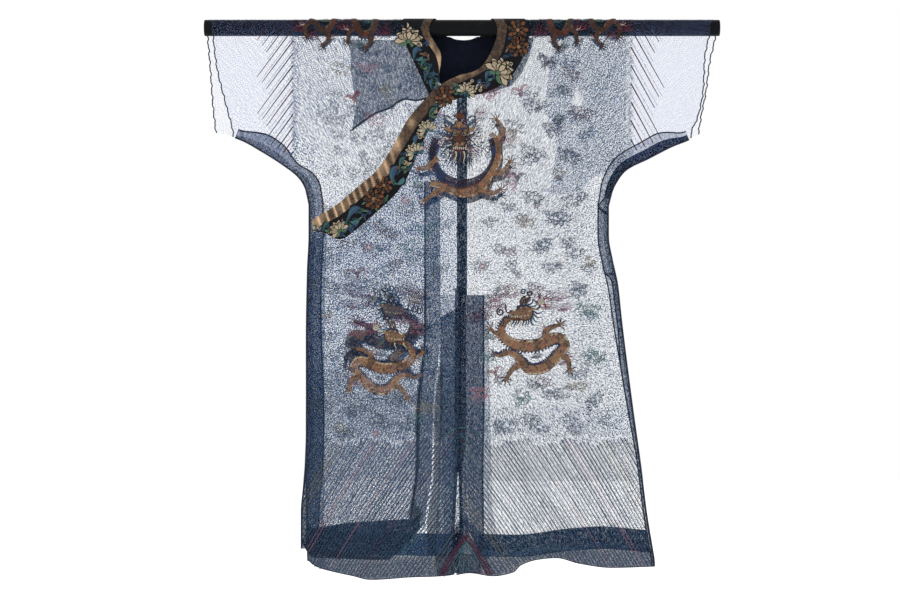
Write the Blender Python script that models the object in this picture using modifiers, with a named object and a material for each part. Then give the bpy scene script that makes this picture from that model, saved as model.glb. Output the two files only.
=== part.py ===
"""A gauze dragon robe hung over a round rod, as closed solids in metres, +Z up.

The rod's axis is X and its middle is the origin. The robe's front faces -Y, and the wearer's
left is +X. Each cloth piece is an open surface, worked out from the tables below and thickened
outward with Solidify.
"""

import math

import bmesh
import bpy

MM = 0.001
COLLECTION = "dragon_robe_on_rod"

# Driving dimensions, metres
ROD_LENGTH = 1.298
ROD_DIAMETER = 0.041
ROD_END_BEVEL = 0.002
ROD_SIDES = 32
WALL = 0.0012
GAP = 0.0003
LAYER = WALL + GAP
ARC_STEPS = 8
CLOSING_WIDTH = 0.150
SEAM_DEPTH = LAYER + 2 * GAP
OVERLAP_LIFT = 0.0042
COLLAR_LIFT = WALL + 0.0008
CENTRE_FRONT = -0.006
CENTRE_BACK = 0.006
SIDE_FACING = 0.045
LEFT_SIDE_FACING = 0.028
VENT_FACING = 0.062
FLAP_VENT_FACING = 0.047
FLAP_EDGE_FACING = 0.040
HEM_FACING = 0.056
VENT_TOP = -0.673
MIDDLE_COLUMNS = 9
SLEEVE_COLUMNS = (1.0, 0.80, 0.60, 0.42, 0.26, 0.13, 0.05)
ARM_ROWS = (0.0, 0.063, 0.13, 0.22, 0.34, 0.50, 0.68, 0.87, 1.0)
ROWS_ABOVE_VENT = 3
ROWS_BESIDE_VENT = 6
OVERLAP_STEPS = 13
OVERLAP_STEPS_ABOVE_VENT = 6
OVERLAP_EDGE_SHARES = (0.25, 0.5, 1.0)
SEAM_ALLOWANCE = 0.006
SEAM_CLEARANCE = 0.004
SEAM_ROWS = 6
CENTRE_FRONT_SEAM_TOP = -0.180
CENTRE_BACK_SEAM_TOP = -0.172
CORNER_STEPS = 8
CORNER_SIDES = (-0.281, -0.058)
LINING_STEPS = 16
# Heights at which a column's place is read, to find where it meets the hem or the flap's top
HEM_LEVEL = -1.34
FLAP_LEVEL = -0.9
# Faces below this height don't count when a piece that wraps the rod is turned outward
SHOULDER_LEVEL = -0.02

# Folds that deepen towards the hem: the depth, the width of one fold, where the first crest lies
FOLD_TOP = -0.70
FOLD_BOTTOM = -1.34
FRONT_FOLD = {"depth": 0.0060, "width": 0.168, "crest": 0.118}
BACK_FOLD = {"depth": 0.0050, "width": 0.205, "crest": 0.030}

# The cloth's inner radius over the rod, so that its flat facets clear the rod
CLOTH_RADIUS = (ROD_DIAMETER / 2 + GAP) / math.cos(math.pi / ARC_STEPS / 2)

# Side seams: height, place across (millimetres)
RIGHT_SIDE = ((-446, -386), (-524, -386), (-610, -390), (-800, -393), (-1000, -393),
              (-1100, -396), (-1160, -401), (-1220, -406), (-1300, -406))
LEFT_SIDE = ((-449, 368), (-524, 368), (-585, 378), (-645, 391), (-736, 401), (-857, 416),
             (-978, 432), (-1099, 449), (-1220, 464), (-1341, 484))
OVERLAP_SIDE = ((-510, -384), (-610, -388), (-800, -391), (-1100, -392), (-1220, -391),
                (-1341, -388), (-1366, -373))

# Underarm seams: place across, how far below the rod's axis (millimetres)
RIGHT_UNDERARM = ((-386, 446), (-396, 403), (-416, 373), (-456, 343), (-504, 313), (-559, 282),
                  (-612, 265), (-643, 262))
LEFT_UNDERARM = ((368, 449), (381, 403), (413, 358), (471, 328), (532, 297), (570, 282),
                 (595, 268), (640, 262))

# Sleeve ends: height, place across (millimetres)
RIGHT_END_FRONT = ((0, -627), (-23, -625), (-93, -617), (-181, -597), (-257, -577))
RIGHT_END_BACK = ((0, -645), (-23, -643), (-81, -638), (-181, -630), (-265, -620))
LEFT_END_FRONT = ((0, 624), (-23, 620), (-81, 609), (-156, 606), (-219, 595), (-262, 577))
LEFT_END_BACK = ((0, 642), (-23, 640), (-81, 627), (-156, 617), (-219, 604), (-265, 596))

# Neck, centre and vent edges: height, place across (millimetres)
LEFT_FRONT_EDGE = ((0, 117), (-28, 111), (-60, 103), (-91, 83), (-113, 48), (-139, -5.85),
                   (-673, -5.85), (-960, -5.5), (-1120, -8), (-1265, -6.5), (-1290, -10),
                   (-1310, -18), (-1371, -14))
FLAP_EDGE = ((-139, -6.15), (-673, -6.15), (-960, -7), (-1120, -11.5), (-1265, -19),
             (-1310, -22), (-1371, -19))
UNDER_FLAP_EDGE = ((0, -104), (-28, -96), (-60, -78), (-98, -60), (-150, -56), (-760, -55),
                   (-963, -73), (-1114, -76), (-1189, -86), (-1242, -93))
LEFT_BACK_EDGE = ((0, 88), (-14, 76), (-28, 50), (-35, 6.15), (-673, 6.15), (-1220, 16),
                  (-1260, 24), (-1290, 26), (-1320, 22))
RIGHT_BACK_EDGE = ((0, -76), (-14, -64), (-28, -40), (-35, 5.85), (-673, 5.85), (-1220, 14),
                   (-1270, 16), (-1320, 14))

# Hems: place across, height (millimetres)
FRONT_HEM = ((-388, -1341), (-373, -1356), (-343, -1366), (-282, -1378), (-237, -1386),
             (-123, -1381), (-25, -1376), (13, -1371), (73, -1378), (126, -1368), (145, -1351),
             (186, -1338), (239, -1333), (292, -1346), (375, -1358), (484, -1356))
UNDER_FLAP_HEM = ((-406, -1288), (-388, -1320), (-373, -1333), (-189, -1336), (-159, -1318),
                  (-128, -1288), (-93, -1242))
BACK_HEM = ((-406, -1288), (-373, -1318), (-190, -1330), (6, -1332), (139, -1334),
            (287, -1318), (358, -1313), (484, -1322))

# Outer flap's upper edge, under the collar band: place across, height (millimetres)
FLAP_TOP = ((-386, -514), (-375, -509), (-348, -494), (-312, -476), (-272, -446), (-232, -411),
            (-189, -375), (-161, -325), (-136, -287), (-108, -242), (-73, -202), (-50, -170),
            (-25, -148), (-6, -139))

# Outer stretch of the collar, rows from its tip to the rod (millimetres):
# edging's free edge x, z; edging meets band x, z; band's outer edge x, z
COLLAR_OUTER = (
    (-378, -484, -375, -509, -375, -509.5),
    (-343, -464, -348, -494, -343, -517),
    (-315, -446, -312, -476, -305, -532),
    (-290, -426, -272, -446, -272, -512),
    (-255, -396, -232, -411, -232, -479),
    (-217, -363, -189, -375, -189, -441),
    (-189, -325, -161, -325, -161, -411),
    (-161, -277, -136, -287, -136, -373),
    (-136, -232, -108, -242, -112, -318),
    (-106, -196, -73, -202, -84, -257),
    (-73, -160, -45, -172, -56, -208),
    (-42, -138, -22, -150, -33, -186),
    (-6, -121, -6, -140, 10, -175),
    (28, -112, 36, -122, 58, -163),
    (52, -96, 74, -97, 108, -139),
    (71, -66, 97, -70, 138, -102),
    (86, -28, 108, -34, 160, -55),
    (88, 0, 114, 0, 170, 0),
)
# Collar over the back of the neck, rows from the left shoulder to the right one, the same columns
COLLAR_BACK = (
    (62, 0, 84, 0, 138, 0),
    (52, -12, 74, -26, 116, -50),
    (34, -27, 46, -46, 70, -88),
    (4, -32, 4, -54, 6, -98),
    (-26, -27, -38, -46, -60, -88),
    (-44, -12, -64, -26, -104, -50),
    (-52, 0, -74, 0, -126, 0),
)
# Inner stretch of the collar, from the rod to the end under the outer stretch, the same columns
COLLAR_INNER = (
    (-83, 0, -104, 0, -160, 0),
    (-80, -20, -98, -20, -154, -20),
    (-66, -42, -84, -44, -140, -46),
    (-54, -66, -68, -68, -118, -92),
    (-53, -88, -60, -92, -102, -126),
    (-57, -112, -58, -114, -88, -156),
    (-62, -136, -62.5, -138, -80, -172),
)

# Second layer on the under flap: place across, lower edge's height (millimetres)
CORNER_TOP = -32
CORNER_LEFT = ((-32, -281), (-92, -280), (-160, -272), (-186, -267), (-262, -277))
CORNER_LOWER_EDGE = ((-281, -262), (-252, -239), (-212, -214), (-179, -202), (-164, -189),
                     (-141, -181), (-116, -184), (-91, -179), (-58, -160))
# Facing beside the collar, rows down the neck (millimetres): inner edge x, z; outer edge x, z
NECK_FACING = (
    (111, -30, 181, -26),
    (103, -60, 170, -71),
    (83, -91, 150, -116),
    (48, -113, 123, -148),
    (20, -127, 69, -165),
    (0, -137, 18, -173),
)
# Lining inside the back of the neck: place across, lower edge's height (millimetres)
LINING_ENDS = (-92, 104)
LINING_LOWER_EDGE = ((-92, -66), (-60, -118), (-30, -150), (6, -166), (42, -152), (74, -122),
                     (104, -72))
LINING_UPPER_EDGE = ((-92, -20), (-52, -22), (-26, -29), (6, -33.5), (34, -29), (62, -22),
                     (104, -20))


def table_value(table, key):
    """Straight-line value from a table of (key, value) rows, held at its ends."""
    rows = sorted(table)
    if key <= rows[0][0]:
        return rows[0][1]
    for (key_a, value_a), (key_b, value_b) in zip(rows, rows[1:]):
        if key <= key_b:
            return value_a + (value_b - value_a) * (key - key_a) / (key_b - key_a)
    return rows[-1][1]


def metres(table, key):
    """The table's value in metres for a key in metres."""
    return table_value(table, key / MM) * MM


def mix(a, b, share):
    return a + (b - a) * share


def smooth(share):
    """An even start and end between 0 and 1."""
    share = min(max(share, 0.0), 1.0)
    return 0.5 - 0.5 * math.cos(math.pi * share)


def seam_points(side, underarm):
    """The line where front and back are joined, from the sleeve's end to the hem."""
    arm = [(x * MM, -drop * MM) for x, drop in reversed(underarm)]
    body = [(x * MM, z * MM) for z, x in side]
    return arm + body[1:]


SEAMS = (seam_points(RIGHT_SIDE, RIGHT_UNDERARM), seam_points(LEFT_SIDE, LEFT_UNDERARM))


def distance_to_seam(x, z):
    points = SEAMS[0] if x < 0 else SEAMS[1]
    nearest = 1.0
    for (ax, az), (bx, bz) in zip(points, points[1:]):
        length = (bx - ax) ** 2 + (bz - az) ** 2
        share = ((x - ax) * (bx - ax) + (z - az) * (bz - az)) / length
        share = min(max(share, 0.0), 1.0)
        nearest = min(nearest, math.hypot(x - mix(ax, bx, share), z - mix(az, bz, share)))
    return nearest


def depth(x, z, fold):
    """How far the cloth hangs from the rod's plane: least at a seam, the rod's radius inside."""
    closing = smooth(distance_to_seam(x, z) / CLOSING_WIDTH)
    growth = smooth((FOLD_TOP - z) / (FOLD_TOP - FOLD_BOTTOM))
    wave = math.cos(2 * math.pi * (x - fold["crest"]) / fold["width"])
    return mix(SEAM_DEPTH, CLOTH_RADIUS + fold["depth"] * growth * wave, closing)


def front(x, z, out=0.0):
    return (x, -depth(x, z, FRONT_FOLD) - out, z)


def back(x, z, out=0.0):
    return (x, depth(x, z, BACK_FOLD) + out, z)


def over_rod(x, angle, out=0.0):
    """A point above the rod; the angle runs from -90 degrees at the back to 90 at the front."""
    radius = CLOTH_RADIUS + out
    return (x, -radius * math.sin(angle), radius * math.cos(angle))


def arc_angles():
    """Angles between the back and the front of the rod, both ends left out."""
    return [math.pi * (step / ARC_STEPS - 0.5) for step in range(1, ARC_STEPS)]


def flap_lift(x, edge):
    """The outer flap lies on the under flap, and comes down to the centre seam beyond its edge."""
    return OVERLAP_LIFT * smooth((CENTRE_FRONT - x) / (CENTRE_FRONT - edge))


def subdivide(start, end, count):
    return [mix(start, end, step / count) for step in range(count)]


def body_columns(side, edge, side_facing, edge_facing):
    """Places across one half at one height, from the side seam to the neck or centre edge."""
    way = 1 if edge > side else -1
    inner_side = side + way * side_facing
    inner_edge = edge - way * edge_facing
    middle = subdivide(inner_side, inner_edge, MIDDLE_COLUMNS)
    return [side, mix(side, inner_side, 0.5)] + middle + [inner_edge, edge]


def body_rows(top, hem):
    """Heights from the underarm to the hem, with rows at the vents' top and the hem facing."""
    facing = hem + HEM_FACING
    above = subdivide(top, VENT_TOP, ROWS_ABOVE_VENT)
    beside = subdivide(VENT_TOP, facing, ROWS_BESIDE_VENT)
    return above + beside + [facing, hem]


class Panel:
    """The points of one hanging face of a half: arm rows first, then the rows down to the hem."""

    def __init__(self, place, side, underarm, end, edge, hem, side_facing, edge_facing):
        self.place = place
        self.side = side
        self.underarm = underarm
        self.end = end
        self.edge = edge
        self.hem = hem
        self.facings = (side_facing, edge_facing)
        self.body_line = underarm[0][0] * MM
        self.armhole = underarm[0][1] * MM

    def columns_at(self, z):
        side = metres(self.side, z) if z < -self.armhole else self.body_line
        return body_columns(side, metres(self.edge, z), *self.facings)

    def body_point(self, column, row):
        """A column counted from the side seam, and a row counted from the rod."""
        if row < len(ARM_ROWS):
            z = -ARM_ROWS[row] * self.armhole
            return self.columns_at(z)[column], z
        hem = metres(self.hem, self.columns_at(HEM_LEVEL)[column])
        z = body_rows(-self.armhole, hem)[row - len(ARM_ROWS) + 1]
        return self.columns_at(z)[column], z

    def sleeve_point(self, share, row):
        """A share of the way from the body to the sleeve's end."""
        z = -ARM_ROWS[row] * self.armhole
        x = self.body_line
        for _ in range(4):
            x = mix(self.body_line, metres(self.end, z), share)
            z = -ARM_ROWS[row] * metres(self.underarm, x)
        return x, z

    def rows(self):
        return len(ARM_ROWS) + ROWS_ABOVE_VENT + ROWS_BESIDE_VENT + 1

    def grid(self, columns, rows, out=0.0):
        return [[self.place(*self.body_point(c, r), out) for r in rows] for c in columns]

    def sleeve_grid(self, rows, out=0.0):
        shares = SLEEVE_COLUMNS
        return [[self.place(*self.sleeve_point(s, r), out) for r in rows] for s in shares]


BODY_COLUMNS = MIDDLE_COLUMNS + 4


def add_surface(name, strips, colour, roughness, outward, metallic=0.0):
    """One cloth piece from grids that share their edge points, thickened on its outer side."""
    mesh = bmesh.new()
    found = {}

    def vertex(point):
        key = tuple(round(value, 6) for value in point)
        if key not in found:
            found[key] = mesh.verts.new(point)
        return found[key]

    for grid in strips:
        for left, right in zip(grid, grid[1:]):
            for corners in zip(left, right, right[1:], left[1:]):
                vertices = []
                for corner in corners:
                    if vertex(corner) not in vertices:
                        vertices.append(vertex(corner))
                if len(vertices) > 2:
                    mesh.faces.new(vertices)
    bmesh.ops.recalc_face_normals(mesh, faces=mesh.faces)
    mesh.faces.ensure_lookup_table()
    if outward(mesh.faces) < 0:
        bmesh.ops.reverse_faces(mesh, faces=mesh.faces)
    return finish(name, mesh, colour, roughness, metallic, WALL)


def faces_front(faces):
    return -sum(face.normal.y * face.calc_area() for face in faces)


def faces_back(faces):
    return -faces_front(faces)


def faces_out(faces):
    """Positive when a piece that wraps the rod has its faces turned away from the rod."""
    return sum(face.normal.dot(face.calc_center_median()) * face.calc_area() for face in faces
               if face.calc_center_median().z > SHOULDER_LEVEL)


def material_for(name, colour, roughness, metallic):
    material = bpy.data.materials.new(name)
    material.use_nodes = True
    shader = material.node_tree.nodes["Principled BSDF"]
    shader.inputs["Base Color"].default_value = (*colour, 1.0)
    shader.inputs["Roughness"].default_value = roughness
    shader.inputs["Metallic"].default_value = metallic
    material.diffuse_color = (*colour, 1.0)
    return material


def finish(name, mesh, colour, roughness, metallic, wall):
    data = bpy.data.meshes.new(name)
    mesh.to_mesh(data)
    mesh.free()
    piece = bpy.data.objects.new(name, data)
    data.materials.append(material_for(name, colour, roughness, metallic))
    bpy.data.collections[COLLECTION].objects.link(piece)
    if wall:
        shell = piece.modifiers.new("wall", "SOLIDIFY")
        shell.thickness = wall
        shell.offset = 1.0
    return piece


GAUZE = (0.10, 0.17, 0.28)
FACING = (0.05, 0.09, 0.17)
LINING = (0.012, 0.018, 0.040)
BAND = (0.020, 0.022, 0.030)
BROCADE = (0.45, 0.33, 0.18)
LACQUER = (0.012, 0.013, 0.015)

RIGHT_FRONT = Panel(front, RIGHT_SIDE, RIGHT_UNDERARM, RIGHT_END_FRONT, UNDER_FLAP_EDGE,
                    UNDER_FLAP_HEM, SIDE_FACING, FLAP_EDGE_FACING)
RIGHT_BACK = Panel(back, RIGHT_SIDE, RIGHT_UNDERARM, RIGHT_END_BACK, RIGHT_BACK_EDGE, BACK_HEM,
                   SIDE_FACING, VENT_FACING)
LEFT_FRONT = Panel(front, LEFT_SIDE, LEFT_UNDERARM, LEFT_END_FRONT, LEFT_FRONT_EDGE, FRONT_HEM,
                   LEFT_SIDE_FACING, VENT_FACING)
LEFT_BACK = Panel(back, LEFT_SIDE, LEFT_UNDERARM, LEFT_END_BACK, LEFT_BACK_EDGE, BACK_HEM,
                  LEFT_SIDE_FACING, VENT_FACING)


def arc_grid(front_line, back_line):
    """Points over the rod between a front and a back line, both at the height of its axis."""
    grid = []
    for front_point, back_point in zip(front_line, back_line):
        line = [back_point]
        for angle in arc_angles():
            share = angle / math.pi + 0.5
            line.append(over_rod(mix(back_point[0], front_point[0], share), angle))
        grid.append(line + [front_point])
    return grid


def add_half(name, front_panel, back_panel):
    """Front, back and sleeve in one cut, over the rod."""
    strips = []
    tops = []
    for panel in (front_panel, back_panel):
        rows = range(panel.rows())
        body = panel.grid(range(BODY_COLUMNS), rows)
        arm = panel.sleeve_grid(range(len(ARM_ROWS)))
        arm.append(body[0][:len(ARM_ROWS)])
        strips += [body, arm]
        tops.append([line[0] for line in arm] + [line[0] for line in body[1:]])
    strips.append(arc_grid(*tops))
    return add_surface(name, strips, GAUZE, 0.55, faces_out)


def add_side_facing(name, panel, outward):
    """Facing along the side seam and round the armhole, inside a front or a back."""
    facing_row = len(ARM_ROWS) - 2
    body = panel.grid((0, 1, 2), range(facing_row, panel.rows()), -LAYER)
    arm = panel.sleeve_grid((facing_row, facing_row + 1), -LAYER)
    arm.append(body[0][:2])
    return add_surface(name, [body, arm], FACING, 0.6, outward)


def add_hem_facing(name, panel, outward):
    """Facing along the hem, between the side facing and the facing beside the vent."""
    rows = range(panel.rows() - 2, panel.rows())
    grid = panel.grid(range(2, BODY_COLUMNS - 1), rows, -LAYER)
    way = GAP if grid[1][0][0] > grid[0][0][0] else -GAP
    grid[0] = [(x + way, y, z) for x, y, z in grid[0]]
    grid[-1] = [(x - way, y, z) for x, y, z in grid[-1]]
    return add_surface(name, [grid], FACING, 0.6, outward)


def add_edge_facing(name, panel, first_row, outward):
    """Facing beside a vent or along the under flap's front edge."""
    columns = (BODY_COLUMNS - 2, BODY_COLUMNS - 1)
    grid = panel.grid(columns, range(first_row, panel.rows()), -LAYER)
    return add_surface(name, [grid], FACING, 0.6, outward)


def flap_columns(z):
    """Places across the outer flap: the under flap's columns, then those up to the centre seam."""
    side = metres(OVERLAP_SIDE, z)
    under = metres(UNDER_FLAP_EDGE, z)
    edge = metres(FLAP_EDGE, z)
    inner = edge - FLAP_VENT_FACING
    columns = body_columns(side, under, SIDE_FACING, FLAP_EDGE_FACING)
    if inner < under:
        return columns + [mix(under, edge, share) for share in OVERLAP_EDGE_SHARES]
    return columns + [inner, mix(inner, edge, 0.5), edge]


FLAP_COLUMNS = len(flap_columns(FLAP_LEVEL))


def flap_point(column, step, out=0.0):
    """A point of the outer flap: a column from its free side, and a step of the way down."""
    x = flap_columns(FLAP_LEVEL)[column]
    z = mix(metres(FLAP_TOP, x), metres(FRONT_HEM, x), step / OVERLAP_STEPS)
    x = flap_columns(z)[column]
    return front(x, z, out + flap_lift(x, metres(UNDER_FLAP_EDGE, z)))


def flap_grid(columns, first_step=0, out=0.0):
    return [[flap_point(column, step, out) for step in range(first_step, OVERLAP_STEPS + 1)]
            for column in columns]


def add_flap():
    return add_surface("front_overlap", [flap_grid(range(FLAP_COLUMNS))], GAUZE, 0.55, faces_front)


def add_flap_facings():
    """Facings inside the outer flap, along its free side and beside the vent."""
    side = flap_grid((0, 1, 2), 1, -LAYER)
    add_surface("side_facing_overlap", [side], FACING, 0.6, faces_front)
    beside_vent = range(FLAP_COLUMNS - 3, FLAP_COLUMNS)
    vent = flap_grid(beside_vent, OVERLAP_STEPS_ABOVE_VENT, -LAYER)
    add_surface("vent_facing_front_right", [vent], FACING, 0.6, faces_front)


def collar_place(x, z):
    """A point of the collar on the front, over the outer flap's rise."""
    return front(x, z, COLLAR_LIFT + flap_lift(x, metres(UNDER_FLAP_EDGE, z)))


def strip_grids(rows, place):
    """Edging and band of one stretch of the collar, 0.3 mm apart where they meet."""
    edging = []
    band = []
    for row in rows:
        free_x, free_z, meet_x, meet_z, outer_x, outer_z = (value * MM for value in row)
        length = math.hypot(free_x - meet_x, free_z - meet_z)
        share = GAP / length
        edging_end = (mix(meet_x, free_x, share), mix(meet_z, free_z, share))
        edging.append([place(free_x, free_z), place(*edging_end)])
        band.append([place(meet_x, meet_z), place(outer_x, outer_z)])
    return edging, band


def add_collar():
    """Outer stretch over the left shoulder, back of the neck, inner stretch over the right."""
    outer_edging, outer_band = strip_grids(COLLAR_OUTER, collar_place)
    inner_edging, inner_band = strip_grids(COLLAR_INNER, lambda x, z: front(x, z, COLLAR_LIFT))
    back_edging, back_band = strip_grids(COLLAR_BACK, lambda x, z: back(x, z, COLLAR_LIFT))
    outer_edging += shoulder_rows(outer_edging[-1], back_edging[0])
    outer_band += shoulder_rows(outer_band[-1], back_band[0])
    inner_edging = shoulder_rows(inner_edging[0], back_edging[-1])[::-1] + inner_edging
    inner_band = shoulder_rows(inner_band[0], back_band[-1])[::-1] + inner_band
    part_strips(back_edging)
    part_strips(back_band)
    add_surface("edging_outer", [outer_edging], BROCADE, 0.4, faces_front, 0.3)
    add_surface("collar_outer", [outer_band], BAND, 0.6, faces_front)
    add_surface("edging_inner", [inner_edging], BROCADE, 0.4, faces_front, 0.3)
    add_surface("collar_inner", [inner_band], BAND, 0.6, faces_front)
    add_surface("edging_back", [back_edging], BROCADE, 0.4, faces_back, 0.3)
    add_surface("collar_back", [back_band], BAND, 0.6, faces_back)


def shoulder_rows(front_row, back_row):
    """Rows of a collar strip over the rod, from the front row to the back row."""
    rows = []
    for angle in reversed(arc_angles()):
        share = angle / math.pi + 0.5
        places = [mix(b[0], f[0], share) for f, b in zip(front_row, back_row)]
        rows.append([over_rod(x, angle, COLLAR_LIFT) for x in places])
    rows.append([over_rod(b[0], -math.pi / 2, COLLAR_LIFT) for b in back_row])
    return rows


def part_strips(rows):
    """Moves the end rows of the back stretch down, 0.3 mm clear of the shoulder stretches."""
    for end in (0, -1):
        rows[end] = [(x, y, z - GAP) for x, y, z in rows[end]]


def add_corner():
    """The under flap's second layer, beside the neck."""
    corner = []
    for column in range(CORNER_STEPS + 1):
        line = []
        share = column / CORNER_STEPS
        x = mix(*CORNER_SIDES, share)
        bottom = metres(CORNER_LOWER_EDGE, x)
        for row in range(CORNER_STEPS + 1):
            z = mix(CORNER_TOP * MM, bottom, row / CORNER_STEPS)
            x = mix(metres(CORNER_LEFT, z), metres(UNDER_FLAP_EDGE, z), share)
            line.append(front(x, z, -LAYER))
        corner.append(line)
    add_surface("inner_flap_corner", [corner], FACING, 0.6, faces_front)


def add_neck_layers():
    """Facing beside the collar in front, and lining inside the back of the neck."""
    facing = []
    for inner_x, inner_z, outer_x, outer_z in NECK_FACING:
        inner = front(inner_x * MM, inner_z * MM, -LAYER)
        facing.append([inner, front(outer_x * MM, outer_z * MM, -LAYER)])
    add_surface("neck_facing_front", [facing], FACING, 0.6, faces_front)
    lining = []
    for x in subdivide(*LINING_ENDS, LINING_STEPS) + [LINING_ENDS[1]]:
        edges = [metres(edge, x * MM) for edge in (LINING_UPPER_EDGE, LINING_LOWER_EDGE)]
        lining.append([back(x * MM, z, -LAYER) for z in edges])
    add_surface("neck_lining_back", [lining], LINING, 0.7, faces_back)


def add_seam(name, place, centre, top, outward):
    """Turned seam allowance inside the centre seam, from the neck to the vent."""
    bottom = VENT_TOP + SEAM_CLEARANCE
    rows = subdivide(top, bottom, SEAM_ROWS) + [bottom]
    sides = (centre - SEAM_ALLOWANCE, centre + SEAM_ALLOWANCE)
    grid = [[place(x, z, -LAYER) for z in rows] for x in sides]
    add_surface(name, [grid], FACING, 0.6, outward)


def add_rod():
    bpy.ops.mesh.primitive_cylinder_add(vertices=ROD_SIDES, radius=ROD_DIAMETER / 2,
                                        depth=ROD_LENGTH, rotation=(0, math.pi / 2, 0))
    rod = bpy.context.object
    rod.name = "rod"
    rod.data.materials.append(material_for("rod", LACQUER, 0.3, 0.0))
    for collection in list(rod.users_collection):
        collection.objects.unlink(rod)
    bpy.data.collections[COLLECTION].objects.link(rod)
    bevel = rod.modifiers.new("rounded_ends", "BEVEL")
    bevel.width = ROD_END_BEVEL
    bevel.segments = 2
    bevel.limit_method = "ANGLE"
    bevel.angle_limit = math.radians(60)


def main():
    for thing in list(bpy.data.objects):
        bpy.data.objects.remove(thing)
    collection = bpy.data.collections.new(COLLECTION)
    bpy.context.scene.collection.children.link(collection)
    add_rod()
    add_half("right_half", RIGHT_FRONT, RIGHT_BACK)
    add_half("left_half", LEFT_FRONT, LEFT_BACK)
    add_flap()
    add_flap_facings()
    add_collar()
    add_corner()
    add_neck_layers()
    add_side_facing("side_facing_right_front", RIGHT_FRONT, faces_front)
    add_side_facing("side_facing_right_back", RIGHT_BACK, faces_back)
    add_side_facing("side_facing_left_front", LEFT_FRONT, faces_front)
    add_side_facing("side_facing_left_back", LEFT_BACK, faces_back)
    add_hem_facing("hem_facing_under_flap", RIGHT_FRONT, faces_front)
    add_hem_facing("hem_facing_right_back", RIGHT_BACK, faces_back)
    add_hem_facing("hem_facing_left_back", LEFT_BACK, faces_back)
    facing_row = len(ARM_ROWS) - 2
    add_edge_facing("edge_facing_under_flap", RIGHT_FRONT, facing_row, faces_front)
    vent_row = len(ARM_ROWS) - 1 + ROWS_ABOVE_VENT
    add_edge_facing("vent_facing_front_left", LEFT_FRONT, vent_row, faces_front)
    add_edge_facing("vent_facing_back_left", LEFT_BACK, vent_row, faces_back)
    add_edge_facing("vent_facing_back_right", RIGHT_BACK, vent_row, faces_back)
    add_seam("centre_front_seam", front, CENTRE_FRONT, CENTRE_FRONT_SEAM_TOP, faces_front)
    add_seam("centre_back_seam", back, CENTRE_BACK, CENTRE_BACK_SEAM_TOP, faces_back)


main()
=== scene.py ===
"""The looks of the gauze dragon robe on its rod: fine cloth, embroidery, collar, light and camera."""

import math
import random

import bmesh
import bpy
import numpy
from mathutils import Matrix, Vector


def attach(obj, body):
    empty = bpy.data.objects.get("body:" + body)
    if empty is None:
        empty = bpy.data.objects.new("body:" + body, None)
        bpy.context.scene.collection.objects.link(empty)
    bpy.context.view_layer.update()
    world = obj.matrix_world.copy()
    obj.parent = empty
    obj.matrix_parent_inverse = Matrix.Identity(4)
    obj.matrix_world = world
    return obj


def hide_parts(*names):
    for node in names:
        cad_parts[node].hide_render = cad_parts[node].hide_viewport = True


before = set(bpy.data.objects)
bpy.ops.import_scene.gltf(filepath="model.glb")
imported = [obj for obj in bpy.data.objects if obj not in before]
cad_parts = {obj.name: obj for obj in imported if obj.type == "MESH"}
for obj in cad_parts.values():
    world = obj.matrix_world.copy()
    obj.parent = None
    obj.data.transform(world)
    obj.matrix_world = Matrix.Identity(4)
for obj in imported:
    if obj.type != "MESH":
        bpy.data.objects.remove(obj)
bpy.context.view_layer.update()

MM = 0.001

# ---------------------------------------------------------------- sizes shared with the solids, metres
ROD_DIAMETER = 0.041
WALL = 0.0012
GAP = 0.0003
LAYER = WALL + GAP
CLOSING_WIDTH = 0.150
SEAM_DEPTH = LAYER + 2 * GAP
OVERLAP_LIFT = 0.0042
COLLAR_LIFT = WALL + 0.0008
CENTRE_FRONT = -0.006
CENTRE_BACK = 0.006
VENT_TOP = -0.673
SIDE_FACING = 0.045
LEFT_SIDE_FACING = 0.028
VENT_FACING = 0.062
EDGE_FACING = 0.040
HEM_FACING = 0.056
CLOTH_RADIUS = (ROD_DIAMETER / 2 + GAP) / math.cos(math.pi / 16)
FOLD_TOP = -0.70
FOLD_BOTTOM = -1.34
FRONT_FOLD = {"depth": 0.0060, "width": 0.168, "crest": 0.118}
BACK_FOLD = {"depth": 0.0050, "width": 0.205, "crest": 0.030}


def curve(table, key):
    """Smooth value between the rows of a table, without overshooting them."""
    rows = sorted(table)
    if key <= rows[0][0]:
        return rows[0][1]
    if key >= rows[-1][0]:
        return rows[-1][1]
    slopes = [(b[1] - a[1]) / (b[0] - a[0]) for a, b in zip(rows, rows[1:])]
    for index, (a, b) in enumerate(zip(rows, rows[1:])):
        if key <= b[0]:
            break

    def tangent(before, after):
        return 0.0 if before * after <= 0 else 2 * before * after / (before + after)

    start = tangent(slopes[index - 1], slopes[index]) if index else slopes[index]
    end = tangent(slopes[index], slopes[index + 1]) if index + 1 < len(slopes) else slopes[index]
    length = b[0] - a[0]
    t = (key - a[0]) / length
    return ((2 * t ** 3 - 3 * t ** 2 + 1) * a[1] + (t ** 3 - 2 * t ** 2 + t) * length * start
            + (3 * t ** 2 - 2 * t ** 3) * b[1] + (t ** 3 - t ** 2) * length * end)


class Line:
    """An outline in millimetres, worked out smoothly at every millimetre of its key."""

    def __init__(self, rows):
        self.rows = rows
        keys = [row[0] for row in rows]
        self.start = min(keys)
        self.values = [curve(rows, self.start + step) * MM for step in range(int(max(keys) - self.start) + 2)]

    def at(self, key):
        place = min(max(key / MM - self.start, 0.0), len(self.values) - 1.001)
        index = int(place)
        return self.values[index] + (self.values[index + 1] - self.values[index]) * (place - index)


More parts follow.
